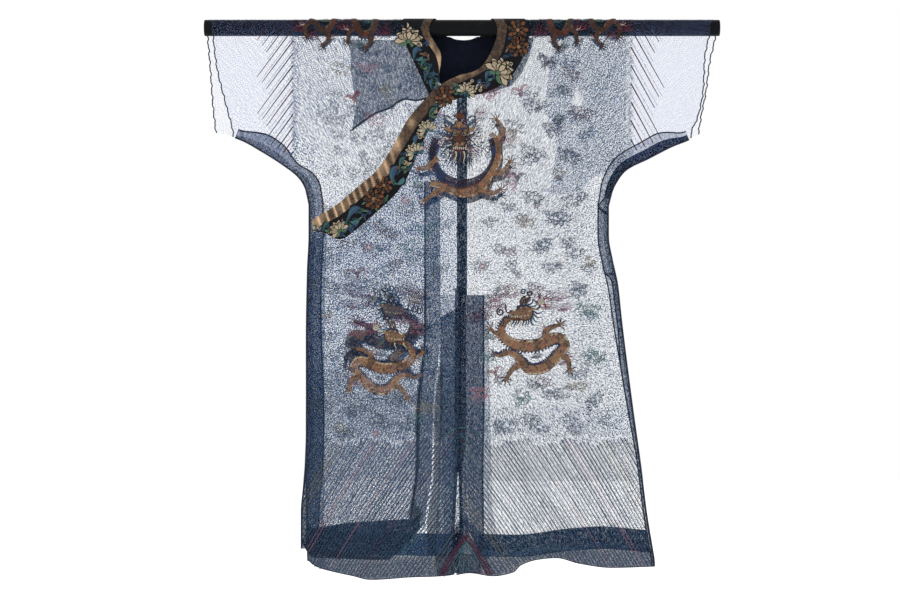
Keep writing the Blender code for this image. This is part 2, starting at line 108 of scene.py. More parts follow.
# Outlines as in the solids: height and x, or x and height
RIGHT_SIDE = Line((
    (-446, -386), (-524, -386), (-610, -390), (-800, -393), (-1000, -393), (-1100, -396), (-1160, -401),
    (-1220, -406), (-1300, -406),
))
LEFT_SIDE = Line((
    (-449, 368), (-524, 368), (-585, 378), (-645, 391), (-736, 401), (-857, 416), (-978, 432),
    (-1099, 449), (-1220, 464), (-1341, 484),
))
OVERLAP_SIDE = Line((
    (-510, -384), (-610, -388), (-800, -391), (-1100, -392), (-1220, -391), (-1341, -388),
    (-1366, -373),
))
RIGHT_UNDERARM = Line((
    (-386, 446), (-396, 403), (-416, 373), (-456, 343), (-504, 313), (-559, 282), (-612, 265),
    (-643, 262),
))
LEFT_UNDERARM = Line((
    (368, 449), (381, 403), (413, 358), (471, 328), (532, 297), (570, 282), (595, 268), (640, 262),
))
RIGHT_END_FRONT = Line((
    (0, -627), (-23, -625), (-93, -617), (-181, -597), (-257, -577),
))
RIGHT_END_BACK = Line((
    (0, -645), (-23, -643), (-81, -638), (-181, -630), (-265, -620),
))
LEFT_END_FRONT = Line((
    (0, 624), (-23, 620), (-81, 609), (-156, 606), (-219, 595), (-262, 577),
))
LEFT_END_BACK = Line((
    (0, 642), (-23, 640), (-81, 627), (-156, 617), (-219, 604), (-265, 596),
))
LEFT_FRONT_EDGE = Line((
    (0, 117), (-28, 111), (-60, 103), (-91, 83), (-113, 48), (-139, -5.85), (-673, -5.85), (-960, -5.5),
    (-1120, -8), (-1265, -6.5), (-1290, -10), (-1310, -18), (-1371, -14),
))
FLAP_EDGE = Line((
    (-139, -6.15), (-673, -6.15), (-960, -7), (-1120, -11.5), (-1265, -19), (-1310, -22), (-1371, -19),
))
UNDER_FLAP_EDGE = Line((
    (0, -104), (-28, -96), (-60, -78), (-98, -60), (-150, -56), (-760, -55), (-963, -73), (-1114, -76),
    (-1189, -86), (-1242, -93),
))
LEFT_BACK_EDGE = Line((
    (0, 88), (-14, 76), (-28, 50), (-35, 6.15), (-673, 6.15), (-1220, 16), (-1260, 24), (-1290, 26),
    (-1320, 22),
))
RIGHT_BACK_EDGE = Line((
    (0, -76), (-14, -64), (-28, -40), (-35, 5.85), (-673, 5.85), (-1220, 14), (-1270, 16), (-1320, 14),
))
FRONT_HEM = Line((
    (-388, -1341), (-373, -1356), (-343, -1366), (-282, -1378), (-237, -1386), (-123, -1381),
    (-25, -1376), (13, -1371), (73, -1378), (126, -1368), (145, -1351), (186, -1338), (239, -1333),
    (292, -1346), (375, -1358), (484, -1356),
))
UNDER_FLAP_HEM = Line((
    (-406, -1288), (-388, -1320), (-373, -1333), (-189, -1336), (-159, -1318), (-128, -1288),
    (-93, -1242),
))
BACK_HEM = Line((
    (-406, -1288), (-373, -1318), (-190, -1330), (6, -1332), (139, -1334), (287, -1318), (358, -1313),
    (484, -1322),
))
FLAP_TOP = Line((
    (-386, -514), (-375, -509), (-348, -494), (-312, -476), (-272, -446), (-232, -411), (-189, -375),
    (-161, -325), (-136, -287), (-108, -242), (-73, -202), (-50, -170), (-25, -148), (-6, -139),
))
# Rows along the collar: x and z of the edging's neck side, of the seam between edging and band, and of
# the band's outer side
COLLAR_OUTER = (
    (-378, -484, -375, -509, -375, -509.5),
    (-343, -464, -348, -494, -343, -517),
    (-315, -446, -312, -476, -305, -532),
    (-290, -426, -272, -446, -272, -512),
    (-255, -396, -232, -411, -232, -479),
    (-217, -363, -189, -375, -189, -441),
    (-189, -325, -161, -325, -161, -411),
    (-161, -277, -136, -287, -136, -373),
    (-136, -232, -108, -242, -112, -318),
    (-106, -196, -73, -202, -84, -257),
    (-73, -160, -45, -172, -56, -208),
    (-42, -138, -22, -150, -33, -186),
    (-6, -121, -6, -140, 10, -175),
    (28, -112, 36, -122, 58, -163),
    (52, -96, 74, -97, 108, -139),
    (71, -66, 97, -70, 138, -102),
    (86, -28, 108, -34, 160, -55),
    (88, 0, 114, 0, 170, 0),
)
COLLAR_BACK = (
    (62, 0, 84, 0, 138, 0),
    (52, -12, 74, -26, 116, -50),
    (34, -27, 46, -46, 70, -88),
    (4, -32, 4, -54, 6, -98),
    (-26, -27, -38, -46, -60, -88),
    (-44, -12, -64, -26, -104, -50),
    (-52, 0, -74, 0, -126, 0),
)
COLLAR_INNER = (
    (-83, 0, -104, 0, -160, 0),
    (-80, -20, -98, -20, -154, -20),
    (-66, -42, -84, -44, -140, -46),
    (-54, -66, -68, -68, -118, -92),
    (-53, -88, -60, -92, -102, -126),
    (-57, -112, -58, -114, -88, -156),
    (-62, -136, -62.5, -138, -80, -172),
)
CORNER_LEFT = Line((
    (-32, -281), (-92, -280), (-160, -272), (-186, -267), (-262, -277),
))
CORNER_LOWER_EDGE = Line((
    (-281, -262), (-252, -239), (-212, -214), (-179, -202), (-164, -189), (-141, -181), (-116, -184),
    (-91, -179), (-58, -160),
))
# x and z of the neck facing's two sides
NECK_FACING = (
    (111, -30, 181, -26), (103, -60, 170, -71), (83, -91, 150, -116), (48, -113, 123, -148),
    (20, -127, 69, -165), (0, -137, 18, -173),
)
LINING_LOWER_EDGE = Line((
    (-92, -72), (-60, -133), (-30, -157), (6, -166), (42, -152), (74, -122), (104, -72),
))
LINING_UPPER_EDGE = Line((
    (-92, -19), (-31, -20), (-21, -25), (-9, -27.5), (4, -28.5), (17, -27.5), (28, -25), (38, -20),
    (104, -19),
))

# How far each sheet's middle lies outside the robe's inner face, metres
CLOTH = WALL / 2
INSIDE = -LAYER / 2
ON_CLOTH = WALL + 0.0001
THREAD_STEP = 0.00012


# ---------------------------------------------------------------- the cloth's form
def mix(a, b, share):
    return a + (b - a) * share


def smooth(share):
    share = min(max(share, 0.0), 1.0)
    return 0.5 - 0.5 * math.cos(math.pi * share)


def above(value, edge, blend):
    """0 at an edge and below it, 1 from a blend above it."""
    return smooth((value - edge) / blend)


def below(value, edge, blend):
    return smooth((edge - value) / blend)


def seam_points(side, underarm):
    arm = [(x * MM, -drop * MM) for x, drop in reversed(underarm.rows)]
    body = [(x * MM, z * MM) for z, x in side.rows]
    return arm + body[1:]


SEAMS = (seam_points(RIGHT_SIDE, RIGHT_UNDERARM), seam_points(LEFT_SIDE, LEFT_UNDERARM))

# Listed creases: start x, z; end x, z; half width; depth (millimetres; a ridge is positive)
CREASES_FRONT = (
    (-330, -150, -372, -330, 16, 2.2), (-300, -90, -352, -260, 12, -1.6), (-420, -120, -410, -300, 14, 1.4),
    (-500, -60, -480, -260, 10, -1.2), (-545, -40, -540, -250, 9, 1.3), (-360, -560, -352, -900, 12, 1.5),
    (-300, -700, -312, -1290, 15, 2.4), (-235, -820, -240, -1330, 13, -2.0),
    (-150, -620, -170, -1180, 18, 1.6),
    (310, -120, 345, -330, 16, 2.4), (270, -90, 330, -300, 12, -1.8), (400, -90, 380, -300, 13, 1.5),
    (480, -60, 470, -260, 11, -1.3), (540, -50, 530, -230, 9, 1.1), (240, -150, 300, -330, 11, 2.0),
    (350, -520, 362, -820, 11, 1.6), (120, -760, 132, -1340, 14, 2.6), (205, -900, 222, -1330, 13, -2.2),
    (300, -860, 330, -1330, 16, 2.4), (400, -1000, 428, -1330, 12, -2.0), (90, -300, 96, -700, 15, 1.0),
)
CREASES_BACK = (
    (-320, -110, -360, -320, 15, 2.0), (-420, -80, -400, -300, 13, -1.4), (-520, -50, -505, -250, 10, 1.2),
    (-280, -640, -290, -1260, 15, 2.0), (-140, -760, -150, -1290, 13, -1.8), (60, -500, 66, -1250, 14, 1.6),
    (180, -820, 190, -1290, 14, 2.2), (290, -700, 310, -1290, 13, -1.8), (300, -120, 345, -320, 14, 2.0),
    (420, -80, 395, -300, 12, -1.4), (520, -50, 510, -240, 10, 1.2), (370, -900, 392, -1290, 12, 1.8),
)


def beside(x, z, ax, az, bx, bz):
    """How far along a straight line the nearest point on it lies, and how far away it is."""
    length = (bx - ax) ** 2 + (bz - az) ** 2
    share = numpy.clip(((x - ax) * (bx - ax) + (z - az) * (bz - az)) / length, 0.0, 1.0)
    return share, numpy.hypot(x - ax - (bx - ax) * share, z - az - (bz - az) * share)


def seam_distance(x, z, points):
    best = numpy.full(x.shape, 1.0)
    for start, end in zip(points, points[1:]):
        best = numpy.minimum(best, beside(x, z, *start, *end)[1])
    return best


def crease_depth(x, z, creases):
    """Listed troughs and ridges, which fade at both ends."""
    total = numpy.zeros(x.shape)
    for ax, az, bx, bz, half_width, height in creases:
        share, away = beside(x, z, ax * MM, az * MM, bx * MM, bz * MM)
        away /= half_width * MM
        total += height * MM * numpy.exp(-away * away) * numpy.sin(math.pi * share)
    return total


class Relief:
    """How far one hanging face lies from the robe's middle plane, worked out on a fine grid."""

    STEP = 0.004
    LEFT = -0.66
    BOTTOM = -1.40

    def __init__(self, fold, creases):
        across = numpy.arange(self.LEFT, -self.LEFT + self.STEP, self.STEP)
        up = numpy.arange(self.BOTTOM, 2 * self.STEP, self.STEP)
        x, z = numpy.meshgrid(across, up, indexing="ij")
        seam = numpy.where(x < 0, seam_distance(x, z, SEAMS[0]), seam_distance(x, z, SEAMS[1]))
        closing = self.ease(seam / CLOSING_WIDTH)
        growth = self.ease((FOLD_TOP - z) / (FOLD_TOP - FOLD_BOTTOM))
        wave = numpy.cos(2 * math.pi * (x - fold["crest"]) / fold["width"])
        middle = CLOTH_RADIUS + fold["depth"] * growth * wave + crease_depth(x, z, creases)
        self.table = (SEAM_DEPTH + (middle - SEAM_DEPTH) * closing).tolist()

    @staticmethod
    def ease(share):
        return 0.5 - 0.5 * numpy.cos(math.pi * numpy.clip(share, 0.0, 1.0))

    def at(self, x, z):
        across = min(max((x - self.LEFT) / self.STEP, 0.0), len(self.table) - 1.001)
        up = min(max((z - self.BOTTOM) / self.STEP, 0.0), len(self.table[0]) - 1.001)
        i = int(across)
        j = int(up)
        near, far = self.table[i], self.table[i + 1]
        return mix(mix(near[j], near[j + 1], up - j), mix(far[j], far[j + 1], up - j), across - i)


FRONT_RELIEF = Relief(FRONT_FOLD, CREASES_FRONT)
BACK_RELIEF = Relief(BACK_FOLD, CREASES_BACK)


def over_rod(x, angle, out=0.0):
    radius = CLOTH_RADIUS + out
    return (x, -radius * math.sin(angle), radius * math.cos(angle))


def front(x, z, out=0.0):
    """A point of the front; above the rod's axis the height is measured round the rod."""
    if z > 0:
        return over_rod(x, math.pi / 2 - z / CLOTH_RADIUS, out)
    return (x, -FRONT_RELIEF.at(x, z) - out, z)


def back(x, z, out=0.0):
    if z > 0:
        return over_rod(x, z / CLOTH_RADIUS - math.pi / 2, out)
    return (x, BACK_RELIEF.at(x, z) + out, z)


def flap_lift(x, z):
    """The outer flap lies on the under flap, and comes down to the centre seam beyond its edge."""
    edge = UNDER_FLAP_EDGE.at(z)
    return OVERLAP_LIFT * smooth((CENTRE_FRONT - x) / (CENTRE_FRONT - edge))


def on_flap(x, z, out=0.0):
    return front(x, z, flap_lift(x, z) + out)


def lifted(place, lift):
    """The same places, further out."""
    return lambda x, z, out=0.0: place(x, z, lift + out)


# ---------------------------------------------------------------- meshes
def new_object(name, data):
    """A mesh, curve, light or camera in the scene."""
    piece = bpy.data.objects.new(name, data)
    bpy.context.scene.collection.objects.link(piece)
    return piece


def make_object(name, grids, material, attributes=None):
    """One surface from grids of points that share their edge points; attributes are read at each point."""
    mesh = bmesh.new()
    found = {}

    def vertex(point):
        key = tuple(round(value, 5) for value in point)
        if key not in found:
            found[key] = mesh.verts.new(point)
        return found[key]

    for grid in grids:
        for left, right in zip(grid, grid[1:]):
            for corners in zip(left, right, right[1:], left[1:]):
                vertices = list(dict.fromkeys(vertex(corner) for corner in corners))
                if len(vertices) > 2 and not mesh.faces.get(vertices):
                    mesh.faces.new(vertices)
    bmesh.ops.recalc_face_normals(mesh, faces=mesh.faces)
    data = bpy.data.meshes.new(name)
    mesh.to_mesh(data)
    mesh.free()
    for key, value_at in (attributes or {}).items():
        layer = data.attributes.new(key, "FLOAT", "POINT")
        layer.data.foreach_set("value", [value_at(*v.co) for v in data.vertices])
    data.materials.append(material)
    data.shade_smooth()
    return new_object(name, data)


def dress(piece, slot_name, nodes=()):
    """Gives a piece its body, and hides the solids that it stands for."""
    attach(piece, "root")
    if nodes:
        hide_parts(*nodes)
    return piece


def steps(start, end, count):
    return [mix(start, end, step / count) for step in range(count + 1)]


def wide_steps(start, end, size):
    return steps(start, end, max(1, round(abs(end - start) / size)))


ARM_STEPS = 44
SLEEVE_STEPS = 26
BODY_STEPS_ACROSS = 44
BODY_STEPS_DOWN = 100
ARC_STEPS = 16
NEAR_HEM = -1.33


class Panel:
    """The points of one hanging face of a half, by share across and height."""

    def __init__(self, place, side, underarm, end, edge, hem):
        self.place = place
        self.side = side
        self.underarm = underarm
        self.end = end
        self.edge = edge
        self.hem = hem
        self.body_line = underarm.rows[0][0] * MM
        self.armhole = underarm.rows[0][1] * MM
        self.way = 1 if self.body_line > 0 else -1

    def side_at(self, z):
        return self.side.at(z) if z < -self.armhole else self.body_line

    def across(self, share, z):
        """From the side seam at 0 to the neck or centre edge at 1."""
        return mix(self.side_at(z), self.edge.at(z), share)

    def hem_at(self, share):
        return self.hem.at(self.across(share, NEAR_HEM))

    def body_grid(self):
        """Lines down the body, with rows as on the arm above the underarm point."""
        grid = []
        for share in steps(0.0, 1.0, BODY_STEPS_ACROSS):
            heights = steps(0.0, -self.armhole, ARM_STEPS)[:-1]
            heights += steps(-self.armhole, self.hem_at(share), BODY_STEPS_DOWN)
            grid.append([self.place(self.across(share, z), z, CLOTH) for z in heights])
        return grid

    def sleeve_point(self, share, row):
        z = -row * self.armhole
        for _ in range(4):
            x = mix(self.body_line, self.end.at(z), share)
            z = -row * self.underarm.at(x)
        return self.place(x, z, CLOTH)

    def sleeve_grid(self):
        return [[self.sleeve_point(share, row) for row in steps(0.0, 1.0, ARM_STEPS)]
                for share in steps(1.0, 0.0, SLEEVE_STEPS)]

    def edge_strip(self, offsets, heights, out=INSIDE):
        """A strip beside the neck or centre edge, at offsets from it and a list of heights."""
        return [[self.place(self.edge.at(z) + self.way * offset, z, out) for z in heights]
                for offset in offsets]


RIGHT_FRONT = Panel(front, RIGHT_SIDE, RIGHT_UNDERARM, RIGHT_END_FRONT, UNDER_FLAP_EDGE, UNDER_FLAP_HEM)
RIGHT_BACK = Panel(back, RIGHT_SIDE, RIGHT_UNDERARM, RIGHT_END_BACK, RIGHT_BACK_EDGE, BACK_HEM)
LEFT_FRONT = Panel(front, LEFT_SIDE, LEFT_UNDERARM, LEFT_END_FRONT, LEFT_FRONT_EDGE, FRONT_HEM)
LEFT_BACK = Panel(back, LEFT_SIDE, LEFT_UNDERARM, LEFT_END_BACK, LEFT_BACK_EDGE, BACK_HEM)
# Name, panel and width of each side facing
SIDES = (("right_front", RIGHT_FRONT, SIDE_FACING), ("right_back", RIGHT_BACK, SIDE_FACING),
         ("left_front", LEFT_FRONT, LEFT_SIDE_FACING), ("left_back", LEFT_BACK, LEFT_SIDE_FACING))


# ---------------------------------------------------------------- materials
class Value:
    """A number that varies over the surface; sums, differences and products of it become nodes."""

    def __init__(self, graph, socket):
        self.graph = graph
        self.socket = socket

    def __add__(self, other):
        return self.graph.math("ADD", self, other)

    def __sub__(self, other):
        return self.graph.math("SUBTRACT", self, other)

    def __rsub__(self, other):
        return self.graph.math("SUBTRACT", other, self)

    def __mul__(self, other):
        return self.graph.math("MULTIPLY", self, other)


def rgba(colour):
    return (*colour, 1.0) if isinstance(colour, tuple) else colour


class Graph:
    """Short names for building a node material."""

    def __init__(self, name):
        self.material = bpy.data.materials.new(name)
        self.material.use_nodes = True
        self.nodes = self.material.node_tree.nodes
        self.nodes.clear()

    def node(self, kind, inputs=None, **settings):
        """A node with its settings; each input is set to a value, or linked to another node's output."""
        node = self.nodes.new("ShaderNode" + kind)
        for key, value in settings.items():
            setattr(node, key, value)
        for key, value in (inputs or {}).items():
            value = value.socket if isinstance(value, Value) else value
            if isinstance(value, bpy.types.NodeSocket):
                self.material.node_tree.links.new(value, node.inputs[key])
            else:
                node.inputs[key].default_value = value
        return node

    def math(self, operation, a, b, clamp=False):
        node = self.node("Math", {0: a, 1: b}, operation=operation, use_clamp=clamp)
        return Value(self, node.outputs[0])

    def mix_colour(self, factor, a, b):
        return self.node("Mix", {0: factor, 6: rgba(a), 7: rgba(b)}, data_type="RGBA").outputs[2]

    def ramp(self, value, low, high):
        """0 below low, 1 above high, smooth between."""
        limits = {"Value": value, "From Min": low, "From Max": high}
        return Value(self, self.node("MapRange", limits, interpolation_type="SMOOTHSTEP").outputs["Result"])

    def attribute(self, name, output="Fac"):
        return Value(self, self.node("Attribute", attribute_name=name).outputs[output])

    def place(self, shift=(0.0, 0.0, 0.0)):
        coordinates = self.node("TexCoord")
        return self.node("Mapping", {"Vector": coordinates.outputs["Object"], "Location": shift}).outputs[0]

    def stretched(self, vector, factors):
        return self.node("VectorMath", {0: vector, 1: factors}, operation="MULTIPLY").outputs[0]

    def noise(self, vector, scale, detail=2.0, distortion=0.0):
        settings = {"Vector": vector, "Scale": scale, "Detail": detail, "Distortion": distortion}
        return Value(self, self.node("TexNoise", settings).outputs["Fac"])

    def x_and_z(self, place):
        parts = self.node("SeparateXYZ", {0: place})
        return Value(self, parts.outputs["X"]), Value(self, parts.outputs["Z"])

    def stripes(self, value, pitch):
        """A triangle wave between 0 and 1 along a value, one period each pitch."""
        return self.math("DIVIDE", self.math("PINGPONG", value, pitch / 2), pitch / 2)

    def weave(self, place, pitch, low, high):
        """1 along the threads of a plain weave and 0 between them."""
        warp, weft = (self.ramp(self.stripes(value, pitch), low, high) for value in self.x_and_z(place))
        return self.math("MAXIMUM", warp, weft)

    def silk(self, colour, height, bump, roughness, shine, metal=0.0, sheen=0.0):
        """A finish with a colour, a bump (strength, depth) of some height, and its gloss."""
        relief = self.node("Bump", {"Height": height, "Strength": bump[0], "Distance": bump[1]})
        finish = {"Base Color": colour, "Normal": relief.outputs[0], "Roughness": roughness,
                  "Specular IOR Level": shine, "Metallic": metal, "Sheen Weight": sheen}
        return self.node("BsdfPrincipled", finish).outputs[0]

    def half_lit(self, threads, glow):
        """Threads that let half of the light through, in another colour."""
        through = self.node("BsdfTranslucent", {"Color": rgba(glow)}).outputs[0]
        return self.node("MixShader", {0: 0.5, 1: threads, 2: through}).outputs[0]

    def see_through(self, threads, cover):
        """Threads that cover a share of the surface, with clear gaps between them."""
        clear = self.node("BsdfTransparent").outputs[0]
        return self.node("MixShader", {0: cover, 1: clear, 2: threads}).outputs[0]

    def finish(self, surface):
        self.node("OutputMaterial", {"Surface": surface})
        return self.material


WEAVE_PITCH = 0.0011
MEANDER_SCALE = (112.0, 1.0, 92.0)
MEANDER_STEP = 0.20
CURL_SCALE = 120.0
CURL_STEP = 0.62
FLECK_SCALE = 270.0
STIPPLE_SCALE = 340.0
DRIFT_SCALE = 15.0
TINT_SCALE = 16.0
PATTERN_MEAN = 0.37
THINNEST = 0.02
THICKEST = 0.98
OPEN_THREAD = (0.08, 0.18, 0.32)
OPEN_GLOW = (0.18, 0.42, 0.72)
SEWN_COOL = (0.012, 0.032, 0.082)
SEWN_WARM = (0.016, 0.036, 0.062)
SEWN_GLOW = (0.010, 0.062, 0.150)
RIGHT_GLOW = (0.006, 0.110, 0.320)
FLAP_GLOW = (0.004, 0.100, 0.330)
DENSE_THREAD = (0.010, 0.022, 0.046)
DENSE_GLOW = (0.002, 0.030, 0.085)
PLAIN_THREAD = (0.16, 0.21, 0.46)
PLAIN_GLOW = (0.24, 0.38, 0.78)


def gauze_material(name, shift, contrast, stitches, glow):
    """Open gauze: threads in front of clear gaps, darker where laid stitches fill the holes."""
    g = Graph(name)
    place = g.place(shift)
    flat = g.stretched(place, (1.0, 0.0, 1.0))
    worked = g.attribute("worked")
    cover = g.attribute("cover")
    # Meandering lines of laid stitches: contours of a noise that is drawn out upright
    field = g.noise(g.stretched(flat, MEANDER_SCALE), 1.0, 1.0, 1.2)
    meander = g.ramp(g.stripes(field, MEANDER_STEP), 0.62, 0.76)
    # Small curled figures of the counted ground
    cells = g.node("TexVoronoi", {"Vector": flat, "Scale": CURL_SCALE, "Randomness": 1.0})
    curls = g.ramp(g.stripes(cells.outputs["Distance"], CURL_STEP), 0.40, 0.75)
    fleck = g.ramp(g.noise(flat, FLECK_SCALE, 1.0), 0.47, 0.55)
    pattern = meander * 0.60 + (curls * 0.22 + fleck * 0.18)
    swing = (pattern - PATTERN_MEAN) * (contrast / PATTERN_MEAN)
    drift = (g.noise(flat, DRIFT_SCALE, 3.0) - 0.5) * 0.45
    close = g.ramp(cover, 0.62, 0.85)
    uneven = (swing + drift) * (g.attribute("stitched") * (1.0 - close * 0.65))
    # Single stitches, dark on pale, all over the worked ground
    dots = g.ramp(g.noise(flat, STIPPLE_SCALE, 0.0), 0.51, 0.59) - 0.40
    stipple = dots * stitches * ((worked * 0.2 + 0.8) * (1.0 - close * 0.90))
    # The weave itself
    weave = g.weave(place, WEAVE_PITCH, 0.55, 0.8)
    share = cover * ((uneven + stipple + (weave - 0.6) * 0.2) + 1.0)
    share = g.math("MINIMUM", g.math("MAXIMUM", share, THINNEST), THICKEST)
    # Thread colours: pale silk gauze, dark stitches, darkest where the work lies close
    tint = g.ramp(g.noise(flat, TINT_SCALE, 2.0), 0.38, 0.64)
    line = g.ramp(pattern + stipple * 0.25, 0.12, 0.62)
    ground = g.mix_colour(close, OPEN_THREAD, DENSE_THREAD)
    sewn = g.mix_colour(line, ground, g.mix_colour(tint, SEWN_COOL, SEWN_WARM))
    lit_ground = g.mix_colour(close, OPEN_GLOW, DENSE_GLOW)
    lit = g.mix_colour(line, lit_ground, g.mix_colour(close, glow, DENSE_GLOW))
    colour = g.mix_colour(worked, PLAIN_THREAD, sewn)
    threads = g.silk(colour, weave + meander, (0.25, 0.0004), 0.55, 0.2, sheen=0.1)
    body = g.half_lit(threads, g.mix_colour(worked, PLAIN_GLOW, lit))
    return g.finish(g.see_through(body, share))


CLOTH_PITCH = 0.0009
TONE_SCALE = 55.0
TONE_CHANGE = 0.25
GRAIN_SCALE = 260.0
GRAIN_STRETCH = (1.0, 1.0, 0.55)


def cloth_material(name, colour, glow=None, cover=None, roughness=0.6, shine=0.15):
    """Close-woven silk with a fine weave, for facings, lining and bands."""
    g = Graph(name)
    place = g.place()
    weave = g.weave(place, CLOTH_PITCH, 0.5, 0.85)
    darker = tuple(part * (1 - TONE_CHANGE) for part in colour)
    lighter = tuple(part * (1 + TONE_CHANGE) for part in colour)
    shade = g.mix_colour(g.ramp(g.noise(place, TONE_SCALE, 4.0), 0.3, 0.7), darker, lighter)
    surface = g.silk(shade, weave, (0.3, 0.0003), roughness, shine)
    if glow:
        surface = g.half_lit(surface, glow)
    if cover:
        speck = g.ramp(g.noise(g.stretched(place, GRAIN_STRETCH), GRAIN_SCALE, 2.0), 0.35, 0.65)
        surface = g.see_through(surface, g.math("ADD", (speck - 0.5) * 0.30, cover, clamp=True))
    return g.finish(surface)


def brocade_material():
    """Gold brocade: brown, made bright on the folds by painted highlights; the highlight is set on each point
    as its tone.
    """
    g = Graph("gold_brocade")
    place = g.place()
    x, z = g.x_and_z(place)
    motif = g.ramp(g.noise(place, 150.0, 2.0, 0.8), 0.42, 0.60)
    rib = g.stripes(x + z, 0.0016)
    low = g.mix_colour(motif, (0.018, 0.010, 0.006), (0.068, 0.037, 0.020))
    # The tone attribute is a painted highlight: where it is high, the brown base turns bright gold as if lit.
    lit = g.math("MULTIPLY", g.attribute("tone"), motif * 0.25 + 0.8, clamp=True)
    gold = g.mix_colour(lit, low, (0.70, 0.47, 0.28))
    return g.finish(g.silk(gold, motif + rib * 0.5, (0.35, 0.0004), 0.38, 0.35, metal=0.25))


def lacquer_material():
    """Black lacquer with faint streaks along the rod and a few worn places."""
    g = Graph("black_lacquer")
    place = g.place()
    grain = g.noise(g.stretched(place, (6.0, 90.0, 90.0)), 3.0, 4.0)
    wear = g.ramp(g.noise(place, 30.0, 5.0), 0.60, 0.78)
    base = g.mix_colour(grain, (0.0035, 0.0045, 0.0050), (0.0065, 0.0075, 0.0085))
    worn = g.mix_colour(wear * 0.35, base, (0.024, 0.023, 0.022))
    return g.finish(g.silk(worn, grain, (0.2, 0.0005), grain * 0.2 + 0.34, 0.05))


def thread_material():
    """Laid stitches: short slanting floats with a slight sheen, thin enough for light to come through."""
    g = Graph("silk_thread")
    place = g.place()
    x, z = g.x_and_z(place)
    stitch = g.stripes(x * 0.8 + z, 0.0013)
    tone = g.ramp(stitch, 0.1, 0.9) * 0.26 + 0.50
    fleck = g.noise(place, 320.0, 2.0) * 0.5 + 0.75
    colour = g.attribute("thread", "Color")
    shade = g.node("VectorMath", {0: colour, "Scale": tone * fleck}, operation="SCALE")
    silk = g.silk(shade.outputs[0], stitch, (0.4, 0.0004), 0.45, 0.12)
    speck = (g.ramp(g.noise(place, 260.0, 1.0), 0.38, 0.62) - 0.5) * 0.5
    solid = g.attribute("thread", "Alpha")
    return g.finish(g.see_through(silk, g.math("ADD", solid, speck * (1.25 - solid), clamp=True)))


# Close-woven silks: name, colour, colour of the light through it, share that it covers, roughness, gloss
CLOTHS = {
    "facing": ("gauze_facing", (0.008, 0.024, 0.056), (0.016, 0.125, 0.34), 0.48),
    "neck": ("neck_facing", (0.009, 0.018, 0.040), (0.01, 0.04, 0.10), 0.80),
    "vent": ("vent_facing", (0.006, 0.018, 0.044), (0.004, 0.05, 0.15), 0.76),
    "back_vent": ("back_vent_facing", (0.008, 0.020, 0.046), (0.01, 0.07, 0.19), 0.44),
    "hem_facing": ("hem_facing", (0.007, 0.022, 0.050), (0.003, 0.02, 0.06), 1.0),
    "seam": ("felled_seam", (0.003, 0.010, 0.027), None, 0.98),
    "edge": ("edge_facing", (0.006, 0.022, 0.052), (0.006, 0.07, 0.20), 0.62),
    "corner": ("gauze_second_layer", (0.014, 0.030, 0.062), (0.026, 0.080, 0.18), 0.70),
    "turning": ("vent_turning", (0.005, 0.014, 0.036), (0.003, 0.02, 0.07), 0.84),
    "side_turning": ("side_turning", (0.006, 0.018, 0.042), (0.006, 0.05, 0.13), 0.54),
    "lining": ("navy_lining", (0.0045, 0.0062, 0.0145), None, None, 0.7, 0.06),
    "band": ("black_satin", (0.0048, 0.0052, 0.0075), None, None, 0.5, 0.08),
    "hem_roll": ("rolled_edge", (0.014, 0.021, 0.042)),
}
# Open gauzes: name, where the pattern starts, its contrast, that of single stitches, light through them
GAUZES = {
    "right": ("gauze_right", (0.0, 0.0, 0.0), 0.66, 2.8, RIGHT_GLOW),
    "left": ("gauze_left", (0.37, 0.0, 0.11), 0.66, 1.9, SEWN_GLOW),
    "flap": ("gauze_flap", (0.13, 0.0, 0.29), 0.42, 2.25, FLAP_GLOW),
    "patch": ("gauze_patch", (0.21, 0.0, 0.47), 0.60, 2.8, FLAP_GLOW),
}
MATERIALS = {key: cloth_material(*row) for key, row in CLOTHS.items()}
MATERIALS.update({key: gauze_material(*row) for key, row in GAUZES.items()})
MATERIALS.update(brocade=brocade_material(), lacquer=lacquer_material(), thread=thread_material())


# ---------------------------------------------------------------- how densely each place is covered
PLAIN_SLEEVE = 0.426
SLEEVES_END = -0.60
STRIPES_TOP = -1.038
PLAIN_COVER = 0.150
SEWN_COVER = 0.250
STRIPED_COVER = 0.195
FLAP_COVER = 0.53
FLAP_STRIPED_COVER = 0.44
LOW_FLAP = 0.20
FLAP_BAND = 0.035
LIGHT_EDGE = 0.13
FILLED_EDGE = 0.27
VENT_SHARE = 0.875
PRESSED = 0.30
PRESSED_IN = 0.0375
PRESSED_HALF = 0.0036
DOUBLED = 0.24
SCROLL_COVER = 0.95
SCROLL_HEIGHT = 0.052
# Areas that lie double or closer worked: centre x, z; half width, half height; extra cover (mm)
DENSER_FRONT = (
    (352, -250, 42, 105, 0.08), (310, -95, 90, 60, 0.07), (250, -480, 60, 60, 0.05),
    (350, -860, 60, 170, 0.09), (215, -1000, 230, 42, 0.17), (418, -150, 8, 150, 0.05),
    (-419, -150, 8, 150, 0.06), (290, -183, 10, 32, -0.15), (-262, -350, 95, 85, -0.035),
)
DENSER_BACK = (
    (-8, -1190, 16, 130, 0.40), (-330, -120, 60, 90, 0.04), (330, -520, 80, 80, 0.04),
    (-419, -150, 8, 150, 0.05), (418, -150, 8, 150, 0.05), (-262, -350, 95, 85, -0.035),
)


def ground_share(x, z):
    """1 on the worked ground and 0 on the plain sleeve tips."""
    return below(abs(x), PLAIN_SLEEVE + 0.006, 0.012) if z > SLEEVES_END else 1.0


def water_top(x):
    """The uneven line where the slanting stripes begin."""
    return STRIPES_TOP + 0.0075 * math.sin(51 * x + 0.6) + 0.0045 * math.sin(127 * x)


def above_water(x, z):
    return above(z, water_top(x) - 0.012, 0.03)


